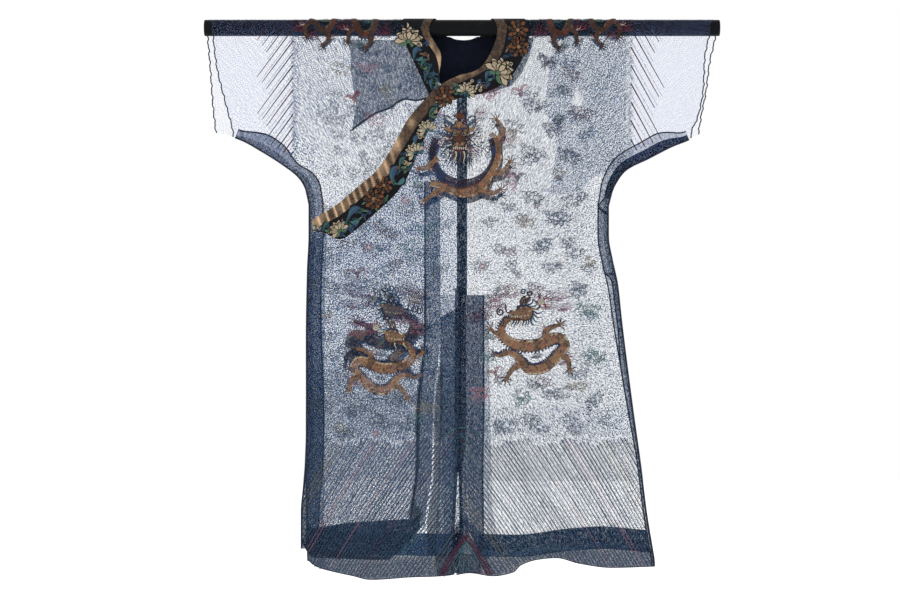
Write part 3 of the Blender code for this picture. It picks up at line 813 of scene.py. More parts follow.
def with_waves(x, z, cover):
    """A cover with the closely worked waves along the front hem added."""
    top = FRONT_HEM.at(x) + SCROLL_HEIGHT
    if x > CENTRE_FRONT:
        top = max(FRONT_HEM.at(x) + 0.018, BACK_HEM.at(x) + 0.008)
    return mix(SCROLL_COVER, cover, above(z, top, 0.008))


def worked_at(x, y, z):
    return ground_share(x, z)


def stitched_at(x, y, z):
    return ground_share(x, z) * mix(0.45, 1.0, above_water(x, z))


def cover_at(x, y, z):
    """The share of light that the cloth stops at a place on either half."""
    worked = mix(STRIPED_COVER, SEWN_COVER, above_water(x, z))
    total = mix(PLAIN_COVER, worked, ground_share(x, z))
    for cx, cz, half_width, half_height, extra in DENSER_FRONT if y < 0 else DENSER_BACK:
        across = below(abs(x / MM - cx) / half_width, 1.3, 0.4)
        total += extra * across * below(abs(z / MM - cz) / half_height, 1.3, 0.4)
    return with_waves(x, z, total) if y < 0 else total


def flap_cover_at(x, y, z):
    """The outer flap is closer worked low down, and filled where its facing doesn't reach the flap below."""
    under_edge = UNDER_FLAP_EDGE.at(z)
    total = mix(FLAP_STRIPED_COVER, FLAP_COVER, above_water(x, z))
    total += LOW_FLAP * below(z, -0.82, 0.05)
    total += FLAP_BAND * below(z, -0.88, 0.06) * above(z, -1.05, 0.02)
    total -= LIGHT_EDGE * above(x, -0.052, 0.008) * above(z, -0.80, 0.05)
    facing_edge = mix(OVERLAP_SIDE.at(z), FLAP_EDGE.at(z), VENT_SHARE)
    between = above(x, under_edge + 0.003, 0.005) * below(x, facing_edge + 0.006, 0.006)
    total += FILLED_EDGE * between * below(z, -0.77, 0.04)
    # A pressed line over the facing below, and the doubled corner at its foot
    line = smooth(1.6 - abs(x - under_edge + PRESSED_IN) / PRESSED_HALF)
    total += PRESSED * line * below(z, -0.58, 0.06) * above(z, -1.23, 0.03)
    total += DOUBLED * smooth(1.5 - abs(x + 0.118) / 0.022 - abs(z + 1.222) / 0.030)
    return with_waves(x, z, total)


def patch_cover_at(x, y, z):
    """The second layer at the left breast is densest in the crease that gathers it."""
    crease = smooth(1.4 - abs(x - 0.243) / 0.030 - abs(z + 0.232) / 0.026)
    gap = smooth(1.5 - abs(x - 0.290) / 0.011 - abs(z + 0.185) / 0.036)
    return 0.33 + 0.52 * crease - 0.32 * gap


# ---------------------------------------------------------------- sheets of gauze
def laid(place, lines, out=INSIDE):
    """Lines of (x, z) laid on a face."""
    return [[place(x, z, out) for x, z in line] for line in lines]


def gauze(name, grids, material, cover, nodes=()):
    attributes = {"cover": cover, "worked": worked_at, "stitched": stitched_at}
    return dress(make_object(name, grids, MATERIALS[material], attributes), "gauze", nodes)


def half_sheet(name, panels, material, node):
    """Front, back and sleeve of one half, joined by an arc over the rod."""
    grids = []
    tops = []
    for panel in panels:
        body = panel.body_grid()
        arm = panel.sleeve_grid()
        arm[-1] = body[0][:ARM_STEPS + 1]
        grids += [body, arm]
        tops.append([line[0] for line in arm + body[1:]])
    arc = []
    for front_point, back_point in zip(*tops):
        line = [over_rod(mix(back_point[0], front_point[0], share), math.pi * (share - 0.5), CLOTH)
                for share in steps(0.0, 1.0, ARC_STEPS)[1:-1]]
        arc.append([back_point, *line, front_point])
    piece = gauze(name, grids + [arc], material, cover_at, [node])


def flap_grid(shares, rows, out):
    """Points of the outer flap, by share from its free side and from its top."""
    grid = []
    for share in shares:
        guess = mix(OVERLAP_SIDE.at(-0.9), FLAP_EDGE.at(-0.9), share)
        heights = [mix(FLAP_TOP.at(guess), FRONT_HEM.at(guess), row) for row in rows]
        grid.append([(mix(OVERLAP_SIDE.at(z), FLAP_EDGE.at(z), share), z) for z in heights])
    return laid(on_flap, grid, out)


def flap_sheet():
    grid = flap_grid(steps(0, 1, 104), steps(0, 1, 120), CLOTH)
    piece = gauze("flap_cloth", [grid], "flap", flap_cover_at, ["front_overlap"])


PATCH_LEFT = Line((
    (-10, 240), (-80, 226), (-140, 214), (-178, 210), (-214, 206), (-232, 224), (-272, 241),
    (-330, 233), (-400, 222), (-452, 208),
))
PATCH_LOWER = Line(((200, -452), (246, -436), (294, -407), (340, -370), (385, -352)))
PATCH_TOP = -0.020
PATCH_FOOT = 0.222
PATCH_RIGHT = 0.412
ARMHOLE_CLEAR = 0.030


def breast_patch():
    """A second layer of gauze inside the left breast, which runs out in a point at the armhole."""
    lines = []
    for share in steps(0, 1, 46):
        x = mix(PATCH_FOOT, PATCH_RIGHT, share)
        lower = max(PATCH_LOWER.at(x), -LEFT_FRONT.underarm.at(x) + ARMHOLE_CLEAR)
        lines.append([(mix(PATCH_LEFT.at(z), PATCH_RIGHT, share), z) for z in steps(PATCH_TOP, lower, 84)])
    gauze("breast_patch", [laid(front, lines, -1.4 * LAYER)], "patch", patch_cover_at)


# ---------------------------------------------------------------- facings
SLEEVE_TIP = 0.572
TIP_FACING = 0.022
ARM_FACING = 0.046
# The right underarm facing is twisted at one place, where it draws in
PINCH = 0.42
PINCH_AT = -0.362
PINCH_REACH = 0.020
FACING_LINES = (0.0, 0.25, 0.5, 0.75, 1.0)
SIDE_TURNING_LINES = (0.0, 0.16, 0.30, 0.44)
SLEEVE_TURNING_LINES = (0.0, 0.35, 0.65, 0.95)
# Joins across the left side facing: height, width and slope (mm)
SIDE_JOINS = ((-452, 9, -0.5), (-622, 7, 0.1))
# Hem facings: node, panel, and the shares across it where they start and end
HEMS = (("hem_facing_under_flap", RIGHT_FRONT, 0.04, 0.96), ("hem_facing_right_back", RIGHT_BACK, 0.04, 0.97),
        ("hem_facing_left_back", LEFT_BACK, 0.01, 0.965))
# Upper edge of the under flap's hem facing, which is wider than the ones behind it
UNDER_HEM_TOP = Line((
    (-406, -1264), (-358, -1257), (-280, -1245), (-205, -1239), (-128, -1236), (-93, -1212),
))
# Facings beside an edge: node, panel, width, top, material
EDGES = (("edge_facing_under_flap", RIGHT_FRONT, EDGE_FACING, -0.388, "edge"),
         ("vent_facing_front_left", LEFT_FRONT, VENT_FACING, VENT_TOP, "vent"),
         ("vent_facing_back_left", LEFT_BACK, VENT_FACING, VENT_TOP, "back_vent"),
         ("vent_facing_back_right", RIGHT_BACK, VENT_FACING, VENT_TOP, "back_vent"))
EDGE_TURNING = 0.0045
# Turned edges of the front vent: name, face, edge, way, width, how far out they lie
VENT_TURNINGS = (("left", front, LEFT_FRONT_EDGE, 1, 0.016, INSIDE),
                 ("right", on_flap, FLAP_EDGE, -1, 0.012, INSIDE - GAP))
OVERLAP_FACING_SHARE = 0.118


def facing(name, grids, material="facing", node=None):
    """A facing, turning or lining, which may stand for a solid."""
    piece = make_object(name, grids, MATERIALS[material])
    dress(piece, "lining" if material == "lining" else "facing", [node] if node else ())


def taper(way, z):
    """How the side facings narrow: the left ones run out towards the hem, the right ones widen."""
    if way > 0:
        return mix(0.90, 0.24, min(max((-0.62 - z) / 0.46, 0.0), 1.0))
    return mix(0.80, 1.0, below(z, -0.66, 0.34))


def back_share(z):
    """The left back facing is half as wide as the front one along the sleeve and again at the hip."""
    sleeve = above(z, -0.455, 0.02)
    hip = below(z, -0.615, 0.015) * above(z, -0.88, 0.14)
    return 1.0 - 0.5 * max(sleeve, hip)


def facing_width(panel, width, x, z):
    arm_width = mix(TIP_FACING, ARM_FACING, below(abs(x), SLEEVE_TIP, 0.07))
    wide = mix(arm_width, width * taper(panel.way, z), below(z, -0.30, 0.16))
    if panel is LEFT_BACK:
        wide *= back_share(z)
    if panel.way < 0:
        wide *= 1.0 - PINCH * math.exp(-(((z - PINCH_AT) / PINCH_REACH) ** 2))
    return wide


def seam_strip(panel, width, shares=FACING_LINES):
    """Lines beside the underarm and side seam, at shares of the facing's width from it."""
    way = panel.way
    arm = [(way * x, -panel.underarm.at(way * x)) for x in steps(SLEEVE_TIP, abs(panel.body_line), ARM_STEPS)]
    body = [(panel.side_at(z), z) for z in wide_steps(-panel.armhole, panel.hem_at(0.04), 0.011)]
    line = arm + body[1:]
    grid = [[] for _ in shares]
    for index, (x, z) in enumerate(line):
        before = line[max(index - 4, 0)]
        after = line[min(index + 4, len(line) - 1)]
        dx, dz = after[0] - before[0], after[1] - before[1]
        wide = facing_width(panel, width, x, z)
        for column, share in enumerate(shares):
            offset = share * wide / math.hypot(dx, dz)
            grid[column].append((x + way * dz * offset, z - way * dx * offset))
    return grid


def side_facings():
    for name, panel, width in SIDES:
        node = "side_facing_" + name
        facing(node + "_cloth", [laid(panel.place, seam_strip(panel, width))], "facing", node)
        if panel.place is front:
            turned = seam_strip(panel, width, SIDE_TURNING_LINES)
            facing("side_turning_" + name, [laid(front, turned, INSIDE - LAYER)], "side_turning")
    arm = [line[:ARM_STEPS] for line in seam_strip(LEFT_BACK, LEFT_SIDE_FACING, SLEEVE_TURNING_LINES)]
    facing("sleeve_turning_left_back", [laid(back, arm, INSIDE - LAYER)], "turning")


def side_joins():
    """Short dark bands where the left side facing is pieced."""
    grids = []
    for height, wide, slope in SIDE_JOINS:
        lines = []
        for share in steps(0.0, 1.0, 4):
            z = (height + wide * slope * (1 - share) * 4) * MM
            x = LEFT_FRONT.side_at(z) - share * LEFT_SIDE_FACING * taper(1, z)
            half = wide / 2 * MM
            lines.append([(x, z + half), (x, z), (x, z - half)])
        grids.append(laid(front, lines, INSIDE - 2 * LAYER))
    facing("side_joins", grids, "turning")


def hem_facings():
    for node, panel, start, end in HEMS:
        lines = []
        for share in steps(start, end, 50):
            hem = panel.hem_at(share)
            top = hem + HEM_FACING
            if panel is RIGHT_FRONT:
                top = UNDER_HEM_TOP.at(panel.across(share, NEAR_HEM))
            lines.append([(panel.across(share, z), z) for z in steps(top, hem, 6)])
        facing(node + "_cloth", [laid(panel.place, lines, INSIDE - GAP)], "hem_facing", node)


def edge_facings():
    for node, panel, width, top, material in EDGES:
        heights = wide_steps(top, panel.hem_at(0.97), 0.012)
        facing(node + "_cloth", [panel.edge_strip(steps(0, width, 5), heights)], material, node)
        if panel.place is front:
            edge = panel.edge_strip((width - EDGE_TURNING, width), heights, INSIDE - LAYER)
            facing(node + "_edge", [edge], "turning")


def vent_turnings():
    """Turned edges of the front vent lie one over the other, but part for a hand's length."""
    for name, place, edge, way, width, out in VENT_TURNINGS:
        lines = []
        for z in steps(-0.655, FRONT_HEM.at(CENTRE_FRONT) + 0.0015, 100):
            parted = below(z, -1.10, 0.03) * above(z, -1.295, 0.02)
            inner = edge.at(z) - way * mix(0.0045, 0.0, parted)
            outer = edge.at(z) + way * mix(width, 0.008, below(z, -1.02, 0.10))
            lines.append([(x, z) for x in steps(inner, outer, 4)])
        facing("vent_turning_" + name, [laid(place, lines, out)], "turning")


def flap_facings():
    side = flap_grid(steps(0.0, OVERLAP_FACING_SHARE, 5), steps(0.03, 1.0, 90), INSIDE)
    facing("side_facing_overlap_cloth", [side], "facing", "side_facing_overlap")
    vent = flap_grid(steps(VENT_SHARE, 1.0, 5), steps(0.46, 1.0, 60), INSIDE)
    facing("vent_facing_front_right_cloth", [vent], "vent", "vent_facing_front_right")


def inner_flap_corner():
    lines = []
    for share in steps(0, 1, 26):
        heights = steps(-0.032, CORNER_LOWER_EDGE.at(mix(-0.281, -0.058, share)), 26)
        lines.append([(mix(CORNER_LEFT.at(z), UNDER_FLAP_EDGE.at(z), share), z) for z in heights])
    facing("inner_flap_corner_cloth", [laid(front, lines)], "corner", "inner_flap_corner")


def neck_layers():
    lines = []
    for row in NECK_FACING:
        ax, az, bx, bz = (value * MM for value in row)
        lines.append([(mix(ax, bx, share), mix(az, bz, share)) for share in steps(0, 1, 5)])
    facing("neck_facing_cloth", [laid(front, lines)], "neck", "neck_facing_front")
    lines = []
    for x in steps(-0.092, 0.104, 30):
        lines.append([(x, z) for z in steps(LINING_UPPER_EDGE.at(x), LINING_LOWER_EDGE.at(x), 12)])
    facing("neck_lining_cloth", [laid(back, lines)], "lining", "neck_lining_back")


def centre_seams():
    for node, place, centre, top in (("centre_front_seam", front, CENTRE_FRONT, -0.180),
                                     ("centre_back_seam", back, CENTRE_BACK, -0.172)):
        heights = wide_steps(top, VENT_TOP, 0.012)
        lines = [[(centre + offset, z) for z in heights] for offset in (-0.007, 0.0, 0.007)]
        facing(node + "_cloth", [laid(place, lines)], "seam", node)


# ---------------------------------------------------------------- collar
COLLAR_OUT = COLLAR_LIFT + WALL / 2
PLEAT_STEP = 0.0215
PLEAT_HEIGHT = 0.0026
PLEATED = (-0.378, -0.135)
# x from which the painted highlight on the edging's tip begins
TIP_HIGHLIGHT_START = -0.338
# Painted highlights on broad folds of the edging: centre x, z; half width, half height; strength (mm)
PAINTED_FOLD_HIGHLIGHTS = (
    (-58, -88, 9, 26, 0.85), (-78, -52, 8, 22, 0.5), (-168, -292, 14, 20, 0.8), (-203, -352, 16, 22, 0.45),
    (-128, -240, 9, 13, 0.55), (60, -82, 9, 20, 0.2), (-300, -448, 20, 20, 0.25),
    (-42, -128, 13, 10, 0.35), (-6, -121, 12, 8, 0.45), (28, -112, 10, 9, 0.30),
)


def catmull(values, key):
    """Smooth value at a place between evenly numbered values."""
    index = min(int(key), len(values) - 2)
    t = key - index
    p = [values[min(max(index + k, 0), len(values) - 1)] for k in (-1, 0, 1, 2)]
    return 0.5 * (2 * p[1] + (p[2] - p[0]) * t + (2 * p[0] - 5 * p[1] + 4 * p[2] - p[3]) * t * t
                  + (3 * p[1] - p[0] - 3 * p[2] + p[3]) * t ** 3)


def through(points, count):
    """Evenly numbered stations on a smooth line through points of any number of parts."""
    columns = list(zip(*points))
    return [tuple(catmull(column, station) for column in columns)
            for station in steps(0, len(points) - 1, count)]


def collar_rows(rows, count):
    return [[value * MM for value in row] for row in through(rows, count)]


def flap_collar(x, z, out=0.0):
    return front(x, z, COLLAR_OUT + flap_lift(x, min(z, 0)) + out)


STRETCHES = {
    "outer": (collar_rows(COLLAR_OUTER, 240), flap_collar),
    "inner": (collar_rows(COLLAR_INNER, 60), lifted(front, COLLAR_OUT)),
    "back": (collar_rows(COLLAR_BACK, 60), lifted(back, COLLAR_OUT)),
}


def pleat_wave(x):
    """0 between pleats and 1 on their crests, with uneven steps."""
    return abs(math.sin(math.pi * x / PLEAT_STEP + 0.7 * math.sin(31 * x)))


def pleat(x, share):
    """Small pleats gather the gold edging along the slanted stretch."""
    strength = above(x, PLEATED[0], 0.02) * below(x, PLEATED[1], 0.04)
    return PLEAT_HEIGHT * strength * (1 - share * 0.5) * pleat_wave(x)


def painted_gold_highlight(x, y, z):
    """Painted highlights where light would catch the edging: sharp lines on its pleats, its tip and a few
    broad folds.
    """
    crest = pleat_wave(x + 0.35 * z)
    pleated = below(x, PLEATED[1], 0.06) * (crest ** 18 + 0.10 * crest ** 4)
    folds = 0.0
    for cx, cz, wide, tall, strength in PAINTED_FOLD_HIGHLIGHTS if y < 0 else ():
        folds += strength * math.exp(-(((x / MM - cx) / wide) ** 2) - ((z / MM - cz) / tall) ** 2)
    return min(1.0, 0.01 + 0.80 * pleated + 0.36 * below(x, TIP_HIGHLIGHT_START, 0.02) + 0.80 * folds)


def shoulder_rows(name, rows):
    """Rows that carry a front stretch over the rod to the back one, each with its angle round the rod."""
    if name == "back":
        return []
    back_rows = STRETCHES["back"][0]
    front_end, back_end = (rows[-1], back_rows[0]) if name == "outer" else (rows[0], back_rows[-1])
    return [(math.pi * (0.5 - share), [mix(a, b, share) for a, b in zip(front_end, back_end)])
            for share in steps(0.0, 1.0, ARC_STEPS)[1:]]


def collar_strip(name, part, first, material, slot_name, tones=None):
    """The edging or the band along one stretch: its sides are four columns of the rows."""
    rows, place = STRETCHES[name]
    pleated = (name, part) == ("outer", "edging")
    grid = []
    for row in rows:
        ax, az, bx, bz = row[first:first + 4]
        points = [(mix(ax, bx, share), mix(az, bz, share), share) for share in steps(0, 1, 8)]
        grid.append([place(x, z, pleat(x, share) if pleated else 0.0) for x, z, share in points])
    arc = [[over_rod(mix(row[first], row[first + 2], share), angle, COLLAR_OUT) for share in steps(0, 1, 8)]
           for angle, row in shoulder_rows(name, rows)]
    grid = grid + arc if name == "outer" else arc[::-1] + grid
    # tones are attributes read at each point; for the edging this is its painted highlight
    piece = make_object(part + "_" + name + "_cloth", [grid], MATERIALS[material], tones)
    dress(piece, slot_name, [part + "_" + name])


def collar_strips():
    for name in STRETCHES:
        # The edging carries its painted highlights as the tone attribute.
        collar_strip(name, "edging", 0, "brocade", "brocade", {"tone": painted_gold_highlight})
        collar_strip(name, "collar", 2, "band", "collar_band")


# ---------------------------------------------------------------- rolled edges and rod
SLEEVE_ROLL = 0.0034
HEM_ROLL = 0.0026
SIDE_ROLL = 0.0048
FACING_ROLL = 0.0040
FLAP_ROLL = 0.0034
CORNER_ROLL = 0.0050


def tube(name, points, diameter):
    """A thin rolled edge along a line of points."""
    line = bpy.data.curves.new(name, "CURVE")
    line.dimensions = "3D"
    spline = line.splines.new("POLY")
    spline.points.add(len(points) - 1)
    for target, point in zip(spline.points, points):
        target.co = (*point, 1.0)
    line.bevel_depth = diameter / 2
    line.bevel_resolution = 1
    line.use_fill_caps = True
    shape = new_object(name + "_line", line)
    bpy.context.view_layer.update()
    data = bpy.data.meshes.new_from_object(shape.evaluated_get(bpy.context.evaluated_depsgraph_get()))
    bpy.data.objects.remove(shape)
    data.materials.append(MATERIALS["hem_roll"])
    data.shade_smooth()
    dress(new_object(name, data), "facing")


def rolled_edges():
    for name, panel, width in SIDES:
        end = [panel.sleeve_point(1.0, row) for row in steps(0, 1, 60)]
        wobble = [(x + 0.0012 * math.sin(207 * z) + 0.0008 * math.sin(427 * z), y, z) for x, y, z in end]
        tube("sleeve_edge_" + name, wobble, SLEEVE_ROLL)
        hem = [(panel.across(share, panel.hem_at(share)), panel.hem_at(share)) for share in steps(0, 1, 120)]
        tube("hem_edge_" + name, laid(panel.place, [hem], CLOTH)[0], HEM_ROLL)
        side, inner = seam_strip(panel, width, (0.04 if panel.way < 0 else 0.0, 1.0))
        tube("side_edge_" + name, laid(panel.place, [side], CLOTH)[0], SIDE_ROLL)
        tube("side_facing_edge_" + name, laid(panel.place, [inner])[0], FACING_ROLL)
    tube("hem_edge_flap", [line[0] for line in flap_grid(steps(0, 1, 100), (1.0,), CLOTH)], HEM_ROLL)
    tube("side_edge_flap", flap_grid((0.0,), steps(0, 1, 110), CLOTH)[0], FLAP_ROLL)
    corner = [(x, CORNER_LOWER_EDGE.at(x)) for x in wide_steps(-0.278, -0.07, 0.004)]
    tube("inner_corner_edge", laid(front, [corner])[0], CORNER_ROLL)


def rod():
    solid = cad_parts["rod"]
    solid.data.materials.clear()
    solid.data.materials.append(MATERIALS["lacquer"])
    solid.data.shade_smooth()


# ---------------------------------------------------------------- embroidery
def paint(red, green, blue, cover=1.0):
    """A thread colour from screen values, with how much of the ground it covers."""
    def linear(value):
        value /= 255
        return value / 12.92 if value <= 0.04045 else ((value + 0.055) / 1.055) ** 2.4

    return (linear(red), linear(green), linear(blue), cover)


def covered(base, share):
    return (*base[:3], share)


GOLD = paint(147, 115, 92, 0.86)
PALE_GOLD = paint(164, 128, 96, 0.88)
# RUST and SHADED are thread browns made darker in part as painted shade, so that the shoulder dragons over
# the rod look dim.
RUST = paint(102, 62, 46, 0.88)
SHADED = paint(84, 62, 50, 0.88)
OUTLINE = paint(52, 44, 52)
INK = paint(22, 20, 24)
RIM = paint(16, 16, 20)
NAVY = paint(44, 58, 92)
PLUM = paint(78, 52, 78)
DEEP_PLUM = paint(46, 36, 58, 0.90)
TEAL = paint(78, 124, 128)
CREAM = paint(214, 204, 180)
PINK = paint(162, 112, 132)
RED = paint(124, 52, 66)
WINE = paint(88, 44, 58)
MULBERRY = paint(76, 46, 66)
SLATE = paint(72, 90, 116)
GREY = paint(70, 90, 112)
OLIVE = paint(128, 122, 100)
LEAF_GREEN = paint(92, 124, 96)
BLUE_LEAF = paint(62, 88, 118)
TEAL_LEAF = paint(52, 92, 98)
DUSTY = paint(186, 168, 142)
BEIGE = paint(206, 190, 160)
ORANGE = paint(126, 80, 50)


def chance(a, b=0):
    """A number from 0 to 1 that looks random but is always the same for the same whole numbers."""
    return math.sin(a * 12.9898 + b * 78.233 + 1.7) * 43758.5453 % 1.0


def ray(u, v, reach, angle, tall=None):
    """The point at a distance and angle from (u, v), with another distance upright where one is given."""
    return (u + reach * math.cos(angle), v + (reach if tall is None else tall) * math.sin(angle))


class Threads:
    """Stitches laid on one face of the robe, with a colour at every point."""

    def __init__(self, place):
        self.place = place
        self.points = []
        self.faces = []
        self.colours = []

    def strip(self, line, colour, across=1, level=0, dome=0.0):
        """A ribbon along (x, z, width) stations; a colour may depend on place along and across."""
        first = len(self.points)
        last = len(line) - 1
        for index, (x, z, width) in enumerate(line):
            before = line[max(index - 1, 0)]
            after = line[min(index + 1, last)]
            dx, dz = after[0] - before[0], after[1] - before[1]
            length = math.hypot(dx, dz) or 1.0
            for column in range(across + 1):
                side = 2 * column / across - 1
                offset = side * width / 2 / length
                out = level * THREAD_STEP + dome * (1 - side * side)
                self.points.append(self.place(x - dz * offset, z + dx * offset, out))
                self.colours.append(colour(index / last, side) if callable(colour) else colour)
        for index in range(last):
            for column in range(across):
                corner = first + index * (across + 1) + column
                ahead = corner + across + 1
                self.faces.append((corner, corner + 1, ahead + 1, ahead))

    def patch(self, centre, outline, colour, rim, level=0):
        """A filled shape round a centre, with a narrow rim of another colour."""
        first = len(self.points)
        count = len(outline)
        for share, tone in ((0.0, colour), (0.82, colour), (0.86, rim), (1.0, rim)):
            for x, z in outline if share else outline[:1]:
                self.points.append(self.place(mix(centre[0], x, share), mix(centre[1], z, share),
                                              level * THREAD_STEP))
                self.colours.append(tone)
        for step in range(count):
            after = (step + 1) % count
            self.faces.append((first, first + 1 + step, first + 1 + after))
            for ring in (0, 1):
                a = first + 1 + ring * count
                self.faces.append((a + step, a + count + step, a + count + after, a + after))

    def build(self, name):
        data = bpy.data.meshes.new(name)
        data.from_pydata(self.points, [], self.faces)
        layer = data.attributes.new("thread", "FLOAT_COLOR", "POINT")
        layer.data.foreach_set("color", [value for colour in self.colours for value in colour])
        data.materials.append(MATERIALS["thread"])
        data.shade_smooth()
        piece = new_object(name, data)
        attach(piece, "root")


# How wide a leaf is at its root, and how far along it is widest: (share, power)
POINTED = (0.12, 0.8)
FULL = (0.10, 1.7)


class Motif:
    """A drawing in millimetres about its own centre, which can be turned, mirrored and sized."""

    def __init__(self, threads, x, z, size=1.0, way=1, turn=0.0, level=1):
        self.threads = threads
        self.x = x
        self.z = z
        self.size = size * MM
        self.way = way
        self.cos = math.cos(turn) * self.size
        self.sin = math.sin(turn) * self.size
        self.level = level

    def spot(self, u, v):
        u *= self.way
        return (self.x + u * self.cos - v * self.sin, self.z + u * self.sin + v * self.cos)

    def line(self, points, colour, across=1, fine=3.0, level=0, dome=0.0):
        """A smooth ribbon through (u, v, width) points."""
        length = sum(math.dist(a[:2], b[:2]) for a, b in zip(points, points[1:]))
        count = max(3, round(length / fine))
        line = [(*self.spot(u, v), max(width, 0.15) * self.size) for u, v, width in through(points, count)]
        self.threads.strip(line[::self.way], colour, across, self.level + level, dome)

    def leaf(self, start, end, width, colour, bend=0.0, level=0, across=1, fine=3.0, form=POINTED):
        """A pointed or full petal, scale, tooth or lock of hair, which may curve to one side."""
        du, dv = end[0] - start[0], end[1] - start[1]
        points = []
        for share in (0.0, 0.15, 0.35, 0.55, 0.75, 0.9, 1.0):
            side = 4 * bend * share * (1 - share)
            points.append((start[0] + du * share - dv * side, start[1] + dv * share + du * side,
                           width * math.sin(math.pi * (form[0] + (1 - form[0]) * share) ** form[1])))
        self.line(points, colour, across, fine, level)

    def wave(self, start, end, width, colour, swing, bends, level=0):
        """A thin tapering line that swings from side to side."""
        du, dv = end[0] - start[0], end[1] - start[1]
        points = []
        for share in steps(0.0, 1.0, max(4, 4 * bends)):
            side = swing / math.hypot(du, dv) * math.sin(math.pi * bends * share)
            points.append((start[0] + du * share - dv * side, start[1] + dv * share + du * side,
                           width * (1.15 - share)))
        self.line(points, colour, 1, 2.5, level)

    def curl(self, u, v, radius, turns, width, colour, start=0.0, level=0):
        points = []
        for share in steps(0.0, 1.0, max(5, round(turns * 8))):
            angle = start + 2 * math.pi * turns * share
            points.append((*ray(u, v, radius * (1 - 0.72 * share), angle), width))
        self.line(points, colour, 1, 2.0, level)

    def disc(self, u, v, radius, colour, rim=None, level=0, tall=1.0, count=14):
        outline = [self.spot(*ray(u, v, radius, 2 * math.pi * step / count, tall * radius))
                   for step in range(count)]
        self.threads.patch(self.spot(u, v), outline, colour, rim or colour, self.level + level)


# ---- dragons
DRAGON_LEVEL = 6
HEAD_LEVEL = DRAGON_LEVEL + 8
SCALE_LENGTH = 2.6
FIN_STEP = 5.5
FIN_WIDTH = 3.8
CLAW_ANGLES = (-1.35, -0.68, 0.0, 0.68, 1.45)
JOINT_FLAME_ANGLES = (1.9, 2.3, 2.7, 3.1, 3.5, 3.9)


def scales(main, light, belly, count):
    """Colour of a dragon's body: shaded patches, dark edges, speckled scales, a broken pale belly."""
    deep = tuple(0.62 * value for value in main[:3]) + (main[3],)
    warm = (main[0] * 1.18, main[1] * 0.92, main[2] * 0.82, main[3])

    def colour(along, side):
        draw = chance(round(along * count), round(side * 4))
        patch = chance(round(along * count / 5), 3)
        tone = (deep, main, warm, main, light)[int(patch * 4.99)]
        if abs(side) > 0.84:
            return OUTLINE if draw > 0.25 else tone
        if side > 0.5 and patch > 0.35:
            return belly if draw > 0.4 else light
        if draw > 0.87:
            return OUTLINE
        return light if draw > 0.76 else tone

    return colour


def coil(motif, points, tones, crest, level):
    """A dragon's body along (u, v, width) points, with a crest of fins on its back."""
    length = sum(math.dist(a[:2], b[:2]) for a, b in zip(points, points[1:]))
    motif.line(points, scales(*tones, round(length / SCALE_LENGTH)), 8, SCALE_LENGTH, level, 0.0009)
    line = through(points, round(length / FIN_STEP))
    for index in range(1, len(line) - 1):
        (bu, bv, _), (u, v, width), (au, av, _) = line[index - 1:index + 2]
        du, dv = au - bu, av - bv
        size = math.hypot(du, dv)
        side_u, side_v = dv / size, -du / size
        root = (u + side_u * width * 0.44, v + side_v * width * 0.44)
        rise = width * 0.5 + (4.0 + 3.0 * chance(index))
        tip = (u + side_u * rise - du / size * 3, v + side_v * rise - dv / size * 3)
        motif.leaf(root, tip, FIN_WIDTH, crest, 0.0, level - 1)


def limbs(motif, paths, main, light, claw, reach, level):
    """Legs with five spread claws each, and flames at the joint."""
    for points in paths:
        slim = [(u, v, width * 0.95) for u, v, width in points]
        motif.line(slim, scales(main, light, PALE_GOLD, 12), 5, SCALE_LENGTH, level + 1, 0.0006)
        (ku, kv, _), (u, v, width) = slim[-2:]
        heading = math.atan2(v - kv, u - ku)
        motif.disc(u, v, width * 0.5, main, OUTLINE, level + 2)
        for spread in CLAW_ANGLES:
            tip = ray(u, v, (13 - 1.5 * abs(spread)) * reach, heading + spread)
            motif.leaf((u, v), tip, 3.0, light, 0.10, level + 1)
            root = (mix(u, tip[0], 0.55), mix(v, tip[1], 0.55))
            motif.leaf(root, ray(*tip, 10 * reach, heading + spread + 0.4), 2.2, claw, 0.12, level + 2)
        elbow_u, elbow_v, _ = points[len(points) // 2]
        for step, spread in enumerate(JOINT_FLAME_ANGLES):
            tip = ray(elbow_u, elbow_v, 18 + 10 * chance(step, round(elbow_u)), heading + spread)
            motif.wave((elbow_u, elbow_v), tip, 2.2, (PINK, CREAM, PINK, OUTLINE)[step % 4], 2.4, 2, level)


def speckle(motif, u, v, reach, tones, count, level):
    """Small curved stitches that spread evenly from a centre."""
    for step in range(count):
        angle = 2.4 * step
        near = reach * math.sqrt((step + 4) / (count + 4))
        far = near + 7 + 5 * chance(step)
        turn = angle + 0.25 * (chance(step, 3) - 0.5)
        motif.wave(ray(u, v, near, angle), ray(u, v, far, turn), 2.0, tones[step % len(tones)], 1.2, 2, level)


